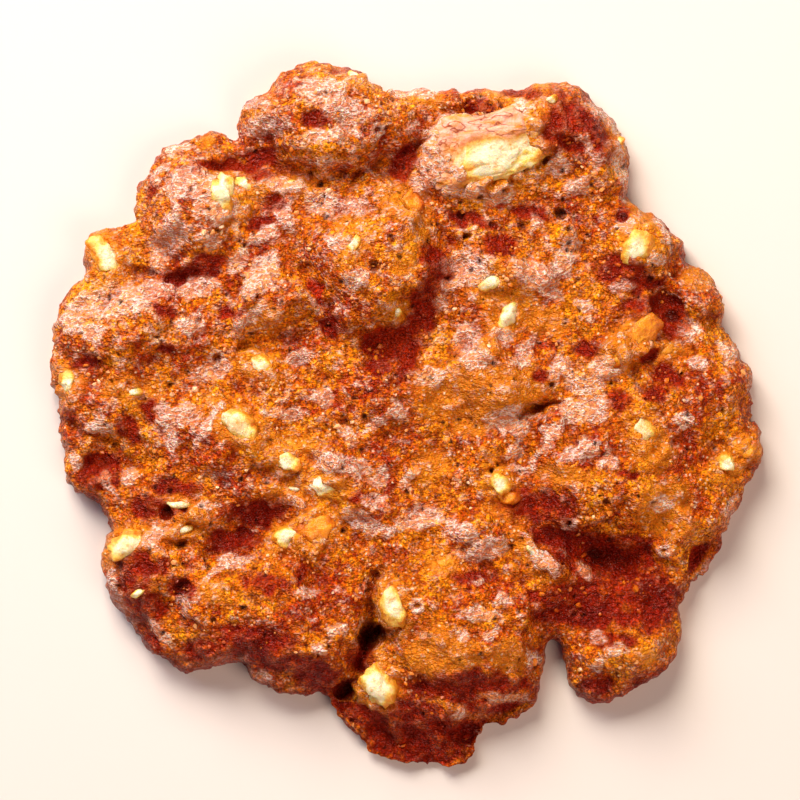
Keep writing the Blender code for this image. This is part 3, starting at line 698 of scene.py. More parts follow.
def new_material(name: str) -> tuple[bpy.types.Material, Tree, bpy.types.Node]:
    """An empty Principled material.

    Args:
        name: Name of the material.

    Returns:
        The material, its node tree and its shader node.
    """
    material = bpy.data.materials.new(name)
    material.use_nodes = True
    tree = material.node_tree
    return material, tree, tree.nodes["Principled BSDF"]


def laid_over(tree: Tree, under: Socket, colour: str, share: Socket) -> Socket:
    """Lays one plain colour over what is there.

    Args:
        tree: Node tree of the material.
        under: What is there.
        colour: The sRGB hex colour laid over it.
        share: How much of it shows.

    Returns:
        The mixed colour.
    """
    mixed = add_node(
        tree, "ShaderNodeMix", {"data_type": "RGBA"}, {"B": linear(colour)},
        {"Factor": share, "A": under},
    )
    return mixed.outputs[2]


def winding_lines(tree: Tree, vector: Socket, size: float, width: float) -> Socket:
    """Thin winding lines, like the wrinkles of a dried film.

    Args:
        tree: Node tree of the material.
        vector: Place in the pattern.
        size: Spacing of the lines, in millimetres.
        width: How wide the lines are, from 0 to 0.5.

    Returns:
        A share, 1 in the middle of a line and 0 off it.
    """
    waves = add_node(
        tree, "ShaderNodeTexNoise", values={"Scale": per_size(size), "Detail": 2.0, "Roughness": 0.55},
        links={"Vector": vector},
    )
    off = add_node(tree, "ShaderNodeMath", {"operation": "SUBTRACT"}, {1: 0.5}, {0: waves.outputs["Fac"]})
    away = add_node(tree, "ShaderNodeMath", {"operation": "ABSOLUTE"}, links={0: off.outputs[0]})
    share = add_node(
        tree, "ShaderNodeMapRange", values={"From Max": width, "To Min": 1.0, "To Max": 0.0},
        links={"Value": away.outputs[0]},
    )
    return share.outputs[0]


@dataclass(frozen=True)
class BakedDough:
    """Crisp baked dough, rich in malt sugar and fat: amber grains with dark red gaps between them, and
    patches of a wrinkled, glazed film. Its pale pink glints, sparkle and sheen, and the shade in its
    hollows and pores, are painted into the colour.

    Attributes:
        amber: Thin, syrupy dough.
        crust: Plain baked dough.
        toasted: Darker patches.
        gap: Gaps between the grains.
        hollow: Tint for painted shade, which shade and thick syrup give the dough deep in a crease, in
            patches of shade and on the rim's -Y slopes.
        deep_painted_shade: Painted deep shade, drawn as dense, smooth dough at the bottom of a crease.
        pore: Bottom of a pore or pit, darkened with painted shade.
        film_and_sheen: Dry glaze on the crests, with painted sheen.
        painted_glint: Painted glints on thin crests of the glaze, drawn pale where they would catch the
            light.
        syrup: Clear syrup round the chopped bits.
        painted_sparkle: Painted sparkle, pale dots drawn on the wet tips of single grains where light
            would glint on them.
        bend_mm: Size of the waves that bend the grain and the wrinkles.
        bend_by_mm: How far they bend them.
        patch_mm: Size of the colour patches.
        grain_mm: Size of one grain of the crumb.
        wrinkle_mm: Spacing of the wrinkles of the film.
        grit_mm: Size of the finest grit, drawn as coarse as shows.
        grain_hue: How much the colour differs from grain to grain, as a share of the ramp.
        speckle_mm: Size of the breaks in the film.
        film_pull: How much a glazed patch pulls the film out of its speckle.
        haze: Share of the film's own colour where the film is whole.
        soak_and_shade_share: Share of the painted deep shade, drawn as dense, dark dough, in the deepest
            shade.
        bump_mm: Height of the grains and wrinkles, which are too fine for the mesh.
    """

    amber: str = "f0960c"
    crust: str = "cc6602"
    toasted: str = "a23000"
    gap: str = "861400"
    hollow: str = "be4e2e"
    deep_painted_shade: str = "721703"
    pore: str = "380800"
    film_and_sheen: str = "f6b692"
    painted_glint: str = "ffeadc"
    syrup: str = "f09420"
    painted_sparkle: str = "ffdcb8"
    bend_mm: float = 1.3
    bend_by_mm: float = 0.6
    patch_mm: float = 4.5
    grain_mm: float = 0.42
    wrinkle_mm: float = 0.48
    grit_mm: float = 0.22
    grain_hue: float = 0.16
    speckle_mm: float = 1.0
    film_pull: float = 0.45
    haze: float = 0.42
    soak_and_shade_share: float = 0.42
    bump_mm: float = 0.28

    def material(self) -> bpy.types.Material:
        """Builds the material.

        Returns:
            The finished material.
        """
        material, tree, shader = new_material("baked_dough")
        place = add_node(tree, "ShaderNodeTexCoord").outputs["Object"]
        bend = add_node(
            tree, "ShaderNodeTexNoise", values={"Scale": per_size(self.bend_mm), "Detail": 2.0},
            links={"Vector": place},
        )
        offset = add_node(
            tree, "ShaderNodeVectorMath", {"operation": "MULTIPLY_ADD"}, {1: (self.bend_by_mm * MM,) * 3},
            {0: bend.outputs["Color"], 2: place},
        )
        bent = offset.outputs["Vector"]
        patches = add_node(
            tree, "ShaderNodeTexNoise",
            values={"Scale": per_size(self.patch_mm), "Detail": 6.0, "Roughness": 0.65},
            links={"Vector": bent},
        )
        grain = add_node(
            tree, "ShaderNodeTexVoronoi", {"feature": "F1"}, {"Scale": per_size(self.grain_mm)},
            {"Vector": bent},
        )
        grit = add_node(
            tree, "ShaderNodeTexNoise",
            values={"Scale": per_size(self.grit_mm), "Detail": 1.0, "Roughness": 0.6},
            links={"Vector": place},
        )
        tone = add_node(tree, "ShaderNodeSeparateColor", links={0: grain.outputs["Color"]})
        baked = add_node(
            tree, "ShaderNodeMath", {"operation": "MULTIPLY_ADD"}, {1: self.grain_hue},
            {0: tone.outputs[2], 2: patches.outputs["Fac"]},
        )
        ramp = add_node(tree, "ShaderNodeValToRGB", links={"Fac": baked.outputs[0]})
        stops = ramp.color_ramp.elements
        stops[0].color, stops[1].color = linear(self.toasted), linear(self.amber)
        stops.new(0.5).color = linear(self.crust)
        for stop, position in zip(stops, (0.36, 0.49, 0.64)):
            stop.position = position + self.grain_hue / 2
        grain_tone = add_node(
            tree, "ShaderNodeMapRange", values={"To Min": 0.78, "To Max": 1.3},
            links={"Value": tone.outputs[0]},
        )
        grit_tone = add_node(
            tree, "ShaderNodeMapRange",
            values={"From Min": 0.36, "From Max": 0.64, "To Min": 0.52, "To Max": 1.55},
            links={"Value": grit.outputs["Fac"]},
        )
        both = add_node(
            tree, "ShaderNodeMath", {"operation": "MULTIPLY"},
            links={0: grain_tone.outputs[0], 1: grit_tone.outputs[0]},
        )
        grained = add_node(
            tree, "ShaderNodeVectorMath", {"operation": "SCALE"},
            links={0: ramp.outputs["Color"], "Scale": both.outputs[0]},
        )
        between = add_node(
            tree, "ShaderNodeMapRange", values={"From Min": 0.5, "From Max": 0.85, "To Max": 0.6},
            links={"Value": grain.outputs["Distance"]},
        )
        gapped = laid_over(tree, grained.outputs[0], self.gap, between.outputs[0])

        syrup = add_node(tree, "ShaderNodeAttribute", {"attribute_name": "syrup"})
        soaked = laid_over(tree, gapped, self.syrup, syrup.outputs["Fac"])
        # Painted sparkle: pale dots on some grains, drawn where light would glint on wet tips.
        point = add_node(
            tree, "ShaderNodeMapRange",
            values={"From Min": 0.12, "From Max": 0.38, "To Min": 0.9, "To Max": 0.0},
            links={"Value": grain.outputs["Distance"]},
        )
        sparkle_grains = add_node(
            tree, "ShaderNodeMapRange", values={"From Min": 0.74, "From Max": 0.84},
            links={"Value": tone.outputs[1]},
        )
        painted_sparkle = add_node(
            tree, "ShaderNodeMath", {"operation": "MULTIPLY"},
            links={0: point.outputs[0], 1: sparkle_grains.outputs[0]},
        )
        sparked = laid_over(tree, soaked, self.painted_sparkle, painted_sparkle.outputs[0])

        # Glaze with painted sheen, from the glazed patches and the speckle.
        turned = add_node(
            tree, "ShaderNodeMapping",
            values={"Rotation": (0.0, 0.0, math.radians(-24)), "Scale": (0.45, 1.0, 1.0)},
            links={"Vector": bent},
        )
        ridge = winding_lines(tree, turned.outputs["Vector"], self.wrinkle_mm, 0.08)
        speckle = add_node(
            tree, "ShaderNodeTexNoise",
            values={"Scale": per_size(self.speckle_mm), "Detail": 4.0, "Roughness": 0.65},
            links={"Vector": place},
        )
        glaze_and_sheen = add_node(tree, "ShaderNodeAttribute", {"attribute_name": "film_and_sheen"})
        film_sum = add_node(
            tree, "ShaderNodeMath", {"operation": "MULTIPLY_ADD"}, {1: self.film_pull},
            {0: glaze_and_sheen.outputs["Fac"], 2: speckle.outputs["Fac"]},
        )
        film_here = add_node(
            tree, "ShaderNodeMapRange", values={"From Min": 0.62, "From Max": 0.8},
            links={"Value": film_sum.outputs[0]},
        )
        haze = add_node(
            tree, "ShaderNodeMath", {"operation": "MULTIPLY"}, {1: self.haze}, {0: film_here.outputs[0]}
        )
        hazed = laid_over(tree, sparked, self.film_and_sheen, haze.outputs[0])
        # Painted glints along the wrinkles of the glaze.
        glint_here = add_node(
            tree, "ShaderNodeMapRange", values={"From Min": 0.55, "From Max": 0.82, "To Max": 0.95},
            links={"Value": film_sum.outputs[0]},
        )
        broken = add_node(
            tree, "ShaderNodeMath", {"operation": "MULTIPLY", "use_clamp": True},
            links={0: grit_tone.outputs[0], 1: ridge},
        )
        painted_glint = add_node(
            tree, "ShaderNodeMath", {"operation": "MULTIPLY"},
            links={0: glint_here.outputs[0], 1: broken.outputs[0]},
        )
        filmed = laid_over(tree, hazed, self.painted_glint, painted_glint.outputs[0])
        # Painted shade: hollows, patches of shade and the rim's -Y slopes are tinted darker and laid over
        # with dense, dark dough.
        hollow = add_node(tree, "ShaderNodeAttribute", {"attribute_name": "hollow"})
        tinted = add_node(
            tree, "ShaderNodeMix", {"data_type": "RGBA", "blend_type": "MULTIPLY"},
            {"B": linear(self.hollow)}, {"Factor": hollow.outputs["Fac"], "A": filmed},
        )
        sunk = add_node(
            tree, "ShaderNodeMath", {"operation": "MULTIPLY"}, {1: self.soak_and_shade_share},
            {0: hollow.outputs["Fac"]},
        )
        shaded = laid_over(tree, tinted.outputs[2], self.deep_painted_shade, sunk.outputs[0])
        # Painted shade at the bottom of pores and pits.
        pore = add_node(tree, "ShaderNodeAttribute", {"attribute_name": "pore"})
        pored = laid_over(tree, shaded, self.pore, pore.outputs["Fac"])
        tree.links.new(pored, shader.inputs["Base Color"])

        gloss = add_node(
            tree, "ShaderNodeMapRange", values={"To Min": 0.32, "To Max": 0.22},
            links={"Value": film_here.outputs[0]},
        )
        tree.links.new(gloss.outputs[0], shader.inputs["Roughness"])
        grain_height = add_node(
            tree, "ShaderNodeMath", {"operation": "MULTIPLY_ADD"}, {1: -0.8},
            {0: grain.outputs["Distance"], 2: grit.outputs["Fac"]},
        )
        height = add_node(
            tree, "ShaderNodeMath", {"operation": "MULTIPLY_ADD"}, {1: 0.4},
            {0: ridge, 2: grain_height.outputs[0]},
        )
        bump = add_node(
            tree, "ShaderNodeBump", values={"Strength": 1.0, "Distance": self.bump_mm * MM},
            links={"Height": height.outputs[0]},
        )
        tree.links.new(bump.outputs[0], shader.inputs["Normal"])
        shader.inputs["IOR"].default_value = SUGAR_IOR
        shader.inputs["Specular IOR Level"].default_value = 0.2
        shader.inputs["Subsurface Weight"].default_value = 0.25
        shader.inputs["Subsurface Radius"].default_value = (1.0, 0.3, 0.08)
        shader.inputs["Subsurface Scale"].default_value = 0.8 * MM
        return material


@dataclass(frozen=True)
class PaleFlesh:
    """Chopped nut or candied melon: cream and faintly clear inside, soaked amber where it meets the
    dough, and in places under a thin, folded skin of baked syrup.

    Attributes:
        name: What it is.
        flesh: Clean cut face.
        waxy: Flesh half soaked with syrup.
        edge: Flesh soaked with syrup.
        stain: Caramelised patches.
        skin: Dry crest of the folded skin.
        fold: Clear syrup between the folds.
        vein: Thin baked lines in the syrup.
        grain_mm: Size of its fine grain.
        chip_mm: Size of the small chips in its face.
        fold_mm: Spacing of the folds.
        blotch_mm: Size of the caramelised patches.
        bump_mm: Depth of the small chips, which are too fine for the mesh.
    """

    name: str = "chopped_nut"
    flesh: str = "fff6cc"
    waxy: str = "ffd866"
    edge: str = "e8901c"
    stain: str = "eeb04a"
    skin: str = "f4b49c"
    fold: str = "e09024"
    vein: str = "9c4010"
    grain_mm: float = 0.5
    chip_mm: float = 0.45
    fold_mm: float = 0.9
    blotch_mm: float = 1.8
    bump_mm: float = 0.22

    def material(self) -> bpy.types.Material:
        """Builds the material.

        Returns:
            The finished material.
        """
        material, tree, shader = new_material(self.name)
        place = add_node(tree, "ShaderNodeTexCoord").outputs["Object"]
        grain = add_node(
            tree, "ShaderNodeTexNoise",
            values={"Scale": per_size(self.grain_mm), "Detail": 3.0, "Roughness": 0.6},
            links={"Vector": place},
        )
        ripe = add_node(tree, "ShaderNodeAttribute", {"attribute_name": "ripe"})
        uneven = add_node(
            tree, "ShaderNodeMath", {"operation": "MULTIPLY_ADD"}, {1: 0.5},
            {0: grain.outputs["Fac"], 2: ripe.outputs["Fac"]},
        )
        clean = add_node(
            tree, "ShaderNodeMapRange", values={"From Min": 0.45, "From Max": 0.95},
            links={"Value": uneven.outputs[0]},
        )
        soaked = add_node(tree, "ShaderNodeValToRGB", links={"Fac": clean.outputs[0]})
        stops = soaked.color_ramp.elements
        stops[0].position, stops[0].color = 0.0, linear(self.edge)
        stops[1].position, stops[1].color = 1.0, linear(self.flesh)
        stops.new(0.4).color = linear(self.waxy)
        blotch = add_node(
            tree, "ShaderNodeTexNoise", values={"Scale": per_size(self.blotch_mm), "Detail": 2.0},
            links={"Vector": place},
        )
        stained = add_node(
            tree, "ShaderNodeMapRange", values={"From Min": 0.54, "From Max": 0.74, "To Max": 0.7},
            links={"Value": blotch.outputs["Fac"]},
        )
        blotched = laid_over(tree, soaked.outputs["Color"], self.stain, stained.outputs[0])
        chips = add_node(
            tree, "ShaderNodeTexNoise",
            values={"Scale": per_size(self.chip_mm), "Detail": 3.0, "Roughness": 0.7},
            links={"Vector": place},
        )
        chipped = add_node(
            tree, "ShaderNodeMapRange", values={"From Min": 0.54, "From Max": 0.66, "To Max": 0.55},
            links={"Value": chips.outputs["Fac"]},
        )
        body = laid_over(tree, blotched, self.edge, chipped.outputs[0])
        turned = add_node(
            tree, "ShaderNodeMapping",
            values={"Rotation": (0.0, 0.0, math.radians(-36)), "Scale": (0.35, 1.0, 1.0)},
            links={"Vector": place},
        )
        crest = winding_lines(tree, turned.outputs["Vector"], self.fold_mm, 0.2)
        skin_colour = add_node(
            tree, "ShaderNodeMix", {"data_type": "RGBA"},
            {"A": linear(self.fold), "B": linear(self.skin)}, {"Factor": crest},
        )
        vein = winding_lines(tree, turned.outputs["Vector"], 1.4 * self.fold_mm, 0.03)
        veined = laid_over(tree, skin_colour.outputs[2], self.vein, vein)
        skin = add_node(tree, "ShaderNodeAttribute", {"attribute_name": "skin"})
        colour = add_node(
            tree, "ShaderNodeMix", {"data_type": "RGBA"},
            links={"Factor": skin.outputs["Fac"], "A": body, "B": veined},
        )
        tree.links.new(colour.outputs[2], shader.inputs["Base Color"])
        bump = add_node(
            tree, "ShaderNodeBump", values={"Strength": 1.0, "Distance": self.bump_mm * MM},
            links={"Height": chips.outputs["Fac"]},
        )
        tree.links.new(bump.outputs[0], shader.inputs["Normal"])
        shader.inputs["Roughness"].default_value = 0.38
        shader.inputs["IOR"].default_value = SUGAR_IOR
        shader.inputs["Subsurface Weight"].default_value = 0.5
        shader.inputs["Subsurface Radius"].default_value = (1.0, 0.62, 0.3)
        shader.inputs["Subsurface Scale"].default_value = 1.5 * MM
        return material


@dataclass(frozen=True)
class FloorPaint:
    """Matt pale studio paint: one even, soft grey white.

    Attributes:
        colour: Its sRGB hex colour.
    """

    colour: str = "e9e6e1"

    def material(self) -> bpy.types.Material:
        """Builds the material.

        Returns:
            The finished material.
        """
        material, _, shader = new_material("matt_studio_paint")
        shader.inputs["Base Color"].default_value = linear(self.colour)
        shader.inputs["Roughness"].default_value = 0.9
        return material


def coordinates(bm: bmesh.types.BMesh) -> Array:
    """The vertices' places, one row of X, Y, Z each."""
    return np.array([v.co[:] for v in bm.verts])


def finished_piece(
    bm: bmesh.types.BMesh, name: str, material: bpy.types.Material
) -> bpy.types.Object:
    """Turns a mesh in millimetres into a dressed piece of the object in metres.

    Args:
        bm: The mesh. It is freed.
        name: Name of the piece.
        material: Its finish.

    Returns:
        The piece, which rides on the root body.
    """
    bmesh.ops.scale(bm, vec=(MM, MM, MM), verts=bm.verts[:])
    mesh = bpy.data.meshes.new(name)
    bm.to_mesh(mesh)
    bm.free()
    mesh.shade_smooth()
    mesh.materials.append(material)
    piece = bpy.data.objects.new(name, mesh)
    bpy.context.scene.collection.objects.link(piece)
    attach(piece, "root")
    return piece


def add_attribute(piece: bpy.types.Object, name: str, values: Array) -> None:
    """Stores one value for each vertex, which the piece's material reads.

    Args:
        piece: The piece.
        name: Name of the attribute.
        values: Its values.
    """
    layer = piece.data.attributes.new(name, "FLOAT", "POINT")
    layer.data.foreach_set("value", np.clip(values, 0.0, 1.0).astype(np.float32))


@dataclass
class Dough:
    """The baked dough of the biscuit, one closed body.

    Attributes:
        outline: Its outline.
        relief: Its baked top.
        finish: Its look.
        cell: Width of one cell of the top, in millimetres.
        sheet_half: Half the width of the sheet that it is trimmed from.
        edge_rounds: How often the sheet's edge is pulled towards the outline.
        edge_pull: Share of the way that each pull goes.
        rim_cuts: Rings of vertices between the top's edge and the foot.
        foot_step: How far the foot steps in from the edge.
        foot_run: How far inside the outline that step fades out.
        crumb: Crumbly unevenness of the top and rim.
        lumpy_crumb_mm: Spacing of the round lumps of crumb.
        lumpy_crumb_height: Height of those lumps over the gaps between them.
        lumpy_crumb_level: Distance from a lump's middle that keeps its height, in spacings.
        pores: How many small open pores the top has.
        pore_radius: Smallest and largest radius of a pore.
        pore_shrink: Smallest and largest share of that radius that is left of a pore.
        pore_depth: Depth of a pore, in radiuses.
        pore_reach: Radius of the round on which the pores are strewn.
        pore_warp: How far a pore's edge wanders along X.
        other_pore_warp: How far it wanders along Y.
        ring_hole: Depth of the hole of a pore with a raised rim.
        ring_rim: Height of its rim.
        ring_rim_half: Half width of its rim.
        ring_shares: Radius of its hole and of its rim, as shares of its own.
        ring_dark: How much painted shade its hole gets.
        pit_share: Radius of the dark part of a pit, as a share of the pit's.
        pit_dark: How much painted shade that part gets.
        seed: Picks the pores' places.
        clasp: Height of the dough that climbs round a bit.
        clasp_growth: How much higher it climbs for each millimetre that a bit is wider than wide_bit.
        wide_bit: Widest bit that the dough climbs no higher for.
        clasp_mean: Mean of the share of that height which it reaches.
        clasp_waves: Unevenness of that share.
        syrup_share: Share of syrup right beside a bit.
        syrup_reach: How far the syrup soaks.
        glaze_swell: How far a glazed patch stands up.
        shade_sink: How far a shaded patch sinks.
        near_rounds: Rounds of blur that take the crumb out of the heights.
        broad_rounds: Further rounds that take the lumps out of them.
        crest_mm: Height over the blurred top at which the dough is all crest.
        hollow_mm: Depth under it at which the dough is all hollow.
        basin_mm: Depth under the broad form at which the dough is all basin.
        cover_mm: Range of heights over which the crumb breaks a patch of painted shade.
        edge_run: How far inside the outline the film starts in full.
        glazed_film: Share of film in a patch of glaze and painted sheen.
        crest_highlight_share: Share of film on a crest, as painted highlight.
        painted_veil_share: Most of the thin veil of film, a painted sheen that is fullest towards the
            upper left.
        hollow_shade: Share of painted shade in a hollow.
        basin_shade: Share of painted shade in a basin.
        soaked_syrup: Share of syrup in a soaked patch.
        underside_level: Level under which a vertex is part of the underside.
        underside_gap: How far over the underside all else stays, in millimetres.
        underside_thinning: Share of the underside's vertices that is taken out.
    """

    outline: Outline
    relief: Relief
    finish: BakedDough
    cell: float = 0.215
    sheet_half: float = 33.0
    edge_rounds: int = 3
    edge_pull: float = 0.9
    rim_cuts: int = 5
    foot_step: float = 0.42
    foot_run: float = 1.5
    crumb: Waves = Waves(((1.9, 0.26), (1.0, 0.22), (0.55, 0.14)), 3.1)
    lumpy_crumb_mm: float = 1.0
    lumpy_crumb_height: float = 0.30
    lumpy_crumb_level: float = 0.55
    pores: int = 420
    pore_radius: tuple[float, float] = (0.11, 0.26)
    pore_shrink: tuple[float, float] = (0.7, 1.0)
    pore_depth: float = 1.3
    pore_reach: float = 31.0
    pore_warp: Waves = Waves(((0.6, 0.22),), 61.0)
    other_pore_warp: Waves = Waves(((0.6, 0.22),), 73.0)
    ring_hole: float = 0.2
    ring_rim: float = 0.16
    ring_rim_half: float = 0.17
    ring_shares: tuple[float, float] = (0.5, 0.8)
    ring_dark: float = 0.35
    pit_share: float = 0.8
    pit_dark: float = 0.75
    seed: int = 11
    clasp: float = 0.4
    clasp_growth: float = 0.1
    wide_bit: float = 2.5
    clasp_mean: float = 0.55
    clasp_waves: Waves = Waves(((0.9, 1.0),), 91.0)
    syrup_share: float = 0.8
    syrup_reach: float = 0.75
    glaze_swell: float = 0.12
    shade_sink: float = 0.15
    near_rounds: int = 6
    broad_rounds: int = 90
    crest_mm: float = 0.12
    hollow_mm: float = 0.18
    basin_mm: float = 0.9
    cover_mm: float = 0.22
    edge_run: float = 2.0
    glazed_film: float = 0.8
    crest_highlight_share: float = 0.2
    painted_veil_share: float = 0.2
    hollow_shade: float = 0.35
    basin_shade: float = 0.2
    soaked_syrup: float = 0.6
    underside_level: float = 0.05
    underside_gap: float = 0.03
    underside_thinning: float = 0.85

    def trimmed_sheet(self) -> bmesh.types.BMesh:
        """A flat grid trimmed to the outline.

        Returns:
            The sheet, its edge pulled onto the outline.
        """
        bm = bmesh.new()
        cells = round(2 * self.sheet_half / self.cell)
        bmesh.ops.create_grid(bm, x_segments=cells, y_segments=cells, size=self.sheet_half)
        middles = np.array([f.calc_center_median()[:2] for f in bm.faces])
        outside = self.outline.depth(*middles.T) < 0
        doomed = [f for f, out in zip(bm.faces, outside) if out]
        bmesh.ops.delete(bm, geom=doomed, context="FACES")
        self.keep_largest_island(bm)
        for _ in range(self.edge_rounds):
            edge = [v for v in bm.verts if v.is_boundary]
            x, y = np.array([v.co[:2] for v in edge]).T
            depth = self.edge_pull * self.outline.depth(x, y)
            inward_x, inward_y = self.outline.inward(x, y)
            for vert, nx, ny in zip(edge, x - inward_x * depth, y - inward_y * depth):
                vert.co.xy = nx, ny
            second = {n for v in edge for e in v.link_edges for n in e.verts}
            near = {n for v in second for e in v.link_edges for n in e.verts}
            # In the mesh's own order, because a set's order differs from run to run.
            inner = [v for v in bm.verts if v in near and not v.is_boundary]
            bmesh.ops.smooth_vert(bm, verts=inner, factor=0.5, use_axis_x=True, use_axis_y=True)
        return bm

    @staticmethod
    def keep_largest_island(bm: bmesh.types.BMesh) -> None:
        """Deletes every face that isn't joined to the middle of the sheet.

        Args:
            bm: The sheet.
        """
        middle = min(bm.faces, key=lambda f: f.calc_center_median().length)
        joined, border = {middle}, [middle]
        while border:
            for edge in border.pop().edges:
                for other in edge.link_faces:
                    if other not in joined:
                        joined.add(other)
                        border.append(other)
        bmesh.ops.delete(bm, geom=[f for f in bm.faces if f not in joined], context="FACES")

    def thickened(self, bm: bmesh.types.BMesh) -> Array:
        """Gives the sheet an upper face and a rim.

        Args:
            bm: The sheet, which becomes a closed slab.

        Returns:
            The level of each vertex: 0 underneath, 1 on top, and between them on the rim.
        """
        level = bm.verts.layers.float.new("level")
        made = bmesh.ops.extrude_face_region(bm, geom=bm.faces[:], use_keep_orig=True)["geom"]
        for vert in (g for g in made if isinstance(g, bmesh.types.BMVert)):
            vert[level] = 1.0
        upright = [e for e in bm.edges if e.verts[0][level] != e.verts[1][level]]
        bmesh.ops.subdivide_edges(bm, edges=upright, cuts=self.rim_cuts, use_grid_fill=True)
        return np.array([v[level] for v in bm.verts])

    def shaped(self, x: Array, y: Array, level: Array) -> Array:
        """Places the slab's vertices on the biscuit's plain form.

        Args:
            x: X of the vertices on the sheet.
            y: Y of the vertices on the sheet.
            level: Their levels.

        Returns:
            One row of X, Y, Z for each vertex.
        """
        inside = self.outline.depth(x, y)
        inward_x, inward_y = self.outline.inward(x, y)
        top = self.relief.top(x, y, inside)
        step = self.foot_step * (1 - level) ** 2 * np.clip(1 - inside / self.foot_run, 0.0, 1.0)
        return np.stack([x + inward_x * step, y + inward_y * step, top * level], axis=1)

    def crumbled(self, points: Array) -> Array:
        """Crumbly unevenness at points of the surface.

        Args:
            points: One row of X, Y, Z for each point.

        Returns:
            How far each point moves out along its normal.
        """
        size = self.lumpy_crumb_mm
        cells = [noise.voronoi(p)[0][0] for p in (points / size).tolist()]
        lumps = self.lumpy_crumb_height * (self.lumpy_crumb_level - np.sqrt(np.array(cells)))
        return self.crumb.solid(points) + lumps

    def pitted(self, points: Array) -> tuple[Array, Array, Array]:
        """Small pores over the top, and the pores with a raised rim.

        Args:
            points: One row of X, Y, Z for each point.

        Returns:
            How far each point sinks, how much painted shade the pores and pits give it, and how pale the
            rims make it.
        """
        chooser = random.Random(self.seed)
        sink = np.zeros(len(points))
        dark = np.zeros(len(points))
        pale = np.zeros(len(points))
        x = points[:, 0] + self.pore_warp.flat(points[:, 0], points[:, 1])
        y = points[:, 1] + self.other_pore_warp.flat(points[:, 0], points[:, 1])
        for _ in range(self.pores):
            angle = chooser.uniform(0, math.tau)
            reach = self.pore_reach * math.sqrt(chooser.random())
            radius = chooser.uniform(*self.pore_radius) * chooser.uniform(*self.pore_shrink)
            distance = np.hypot(x - reach * math.cos(angle), y - reach * math.sin(angle))
            hole = np.exp(-((distance / radius) ** 4))
            sink += self.pore_depth * radius * hole
            dark = np.maximum(dark, hole)
        hole_share, rim_share = self.ring_shares
        for px, py, radius in self.relief.rings:
            distance = np.hypot(x - px, y - py)
            hole = np.exp(-((distance / (hole_share * radius)) ** 4))
            rim = np.exp(-(((distance - rim_share * radius) / self.ring_rim_half) ** 2))
            sink += self.ring_hole * hole - self.ring_rim * rim
            dark = np.maximum(dark, self.ring_dark * hole)
            pale = np.maximum(pale, rim)
        for px, py, radius, _ in self.relief.pits:
            distance = np.hypot(x - px, y - py)
            hole = np.exp(-((distance / (self.pit_share * radius)) ** 4))
            dark = np.maximum(dark, self.pit_dark * hole)
        return sink, dark, pale

    def round_bits(self, points: Array) -> tuple[Array, Array]:
        """How the dough clasps the chopped bits, and where their syrup soaks it.

        Args:
            points: One row of X, Y, Z for each point.

        Returns:
            How far each point rises, and how much syrup it holds.
        """
        x, y = points[:, 0], points[:, 1]
        rise = np.zeros(len(points))
        syrup = np.zeros(len(points))
        uneven = self.clasp_mean + self.clasp_waves.flat(x, y)
        for bit in (*BITS, CHUNK):
            place = (bit.x, bit.y, bit.length / 2, bit.width / 2, bit.turn)
            away = (np.hypot(*turned_place(x, y, place)) - 1.0) * bit.width / 2
            climb = self.clasp + self.clasp_growth * max(0.0, bit.width - self.wide_bit)
            rise += climb * uneven * np.exp(-(((away + 0.1) / (climb + 0.05)) ** 2))
            soak_and_shade_share = np.exp(-((np.maximum(away, 0.0) / self.syrup_reach) ** 2))
            syrup = np.maximum(syrup, self.syrup_share * soak_and_shade_share)
        return rise, syrup * np.clip(uneven + 0.2, 0.0, 1.0)

    @staticmethod
    def blurred(values: Array, pairs: Array, rounds: int) -> Array:
        """Averages values over neighbouring vertices.

        Args:
            values: One value for each vertex.
            pairs: The two vertices of each edge.
            rounds: How often the averaging is done.

        Returns:
            The blurred values.
        """
        ends = np.concatenate([pairs[:, 0], pairs[:, 1]])
        others = np.concatenate([pairs[:, 1], pairs[:, 0]])
        count = np.bincount(ends, minlength=len(values)) + 1.0
        for _ in range(rounds):
            gathered = np.bincount(ends, weights=values[others], minlength=len(values))
            values = (values + gathered) / count
        return values

    def build(self) -> bpy.types.Object:
        """Builds and dresses the dough.

        Returns:
            The finished piece.
        """
        bm = self.trimmed_sheet()
        level = self.thickened(bm)
        x, y, _ = coordinates(bm).T
        points = self.shaped(x, y, level)
        for vert, point in zip(bm.verts, points):
            vert.co = point
        bmesh.ops.recalc_face_normals(bm, faces=bm.faces[:])
        bm.normal_update()
        normals = np.array([v.normal[:] for v in bm.verts])

        sink, dark, pale = self.pitted(points)
        rise, syrup = self.round_bits(points)
        glaze_and_sheen, soaked, shaded = (look.share(x, y) for look in (GLAZE_AND_SHEEN, SOAKED, SHADED))
        bulge = self.crumbled(points) + rise - sink
        bulge = bulge + self.glaze_swell * glaze_and_sheen - self.shade_sink * shaded
        outward = bulge * np.minimum(1.0, 1.4 * level)
        moved = points + normals * outward[:, None]
        lowest = np.where(level > self.underside_level, self.underside_gap, 0.0)
        moved[:, 2] = np.maximum(moved[:, 2], lowest)
        for vert, point in zip(bm.verts, moved):
            vert.co = point

        pairs = np.array([(e.verts[0].index, e.verts[1].index) for e in bm.edges])
        height = moved[:, 2]
        near = self.blurred(height, pairs, self.near_rounds)
        broad = self.blurred(near, pairs, self.broad_rounds)
        # Crests get painted highlight, and hollows and basins get painted shade, by how far the top stands
        # over or under its blurred form.
        crest = np.clip((height - near) / self.crest_mm, 0.0, 1.0)
        hollow = np.clip((near - height) / self.hollow_mm, 0.0, 1.0)
        basin = np.clip((broad - near) / self.basin_mm, 0.0, 1.0)
        shown = level > 0.5
        edge = np.clip(self.outline.depth(x, y) / self.edge_run, 0.0, 1.0)
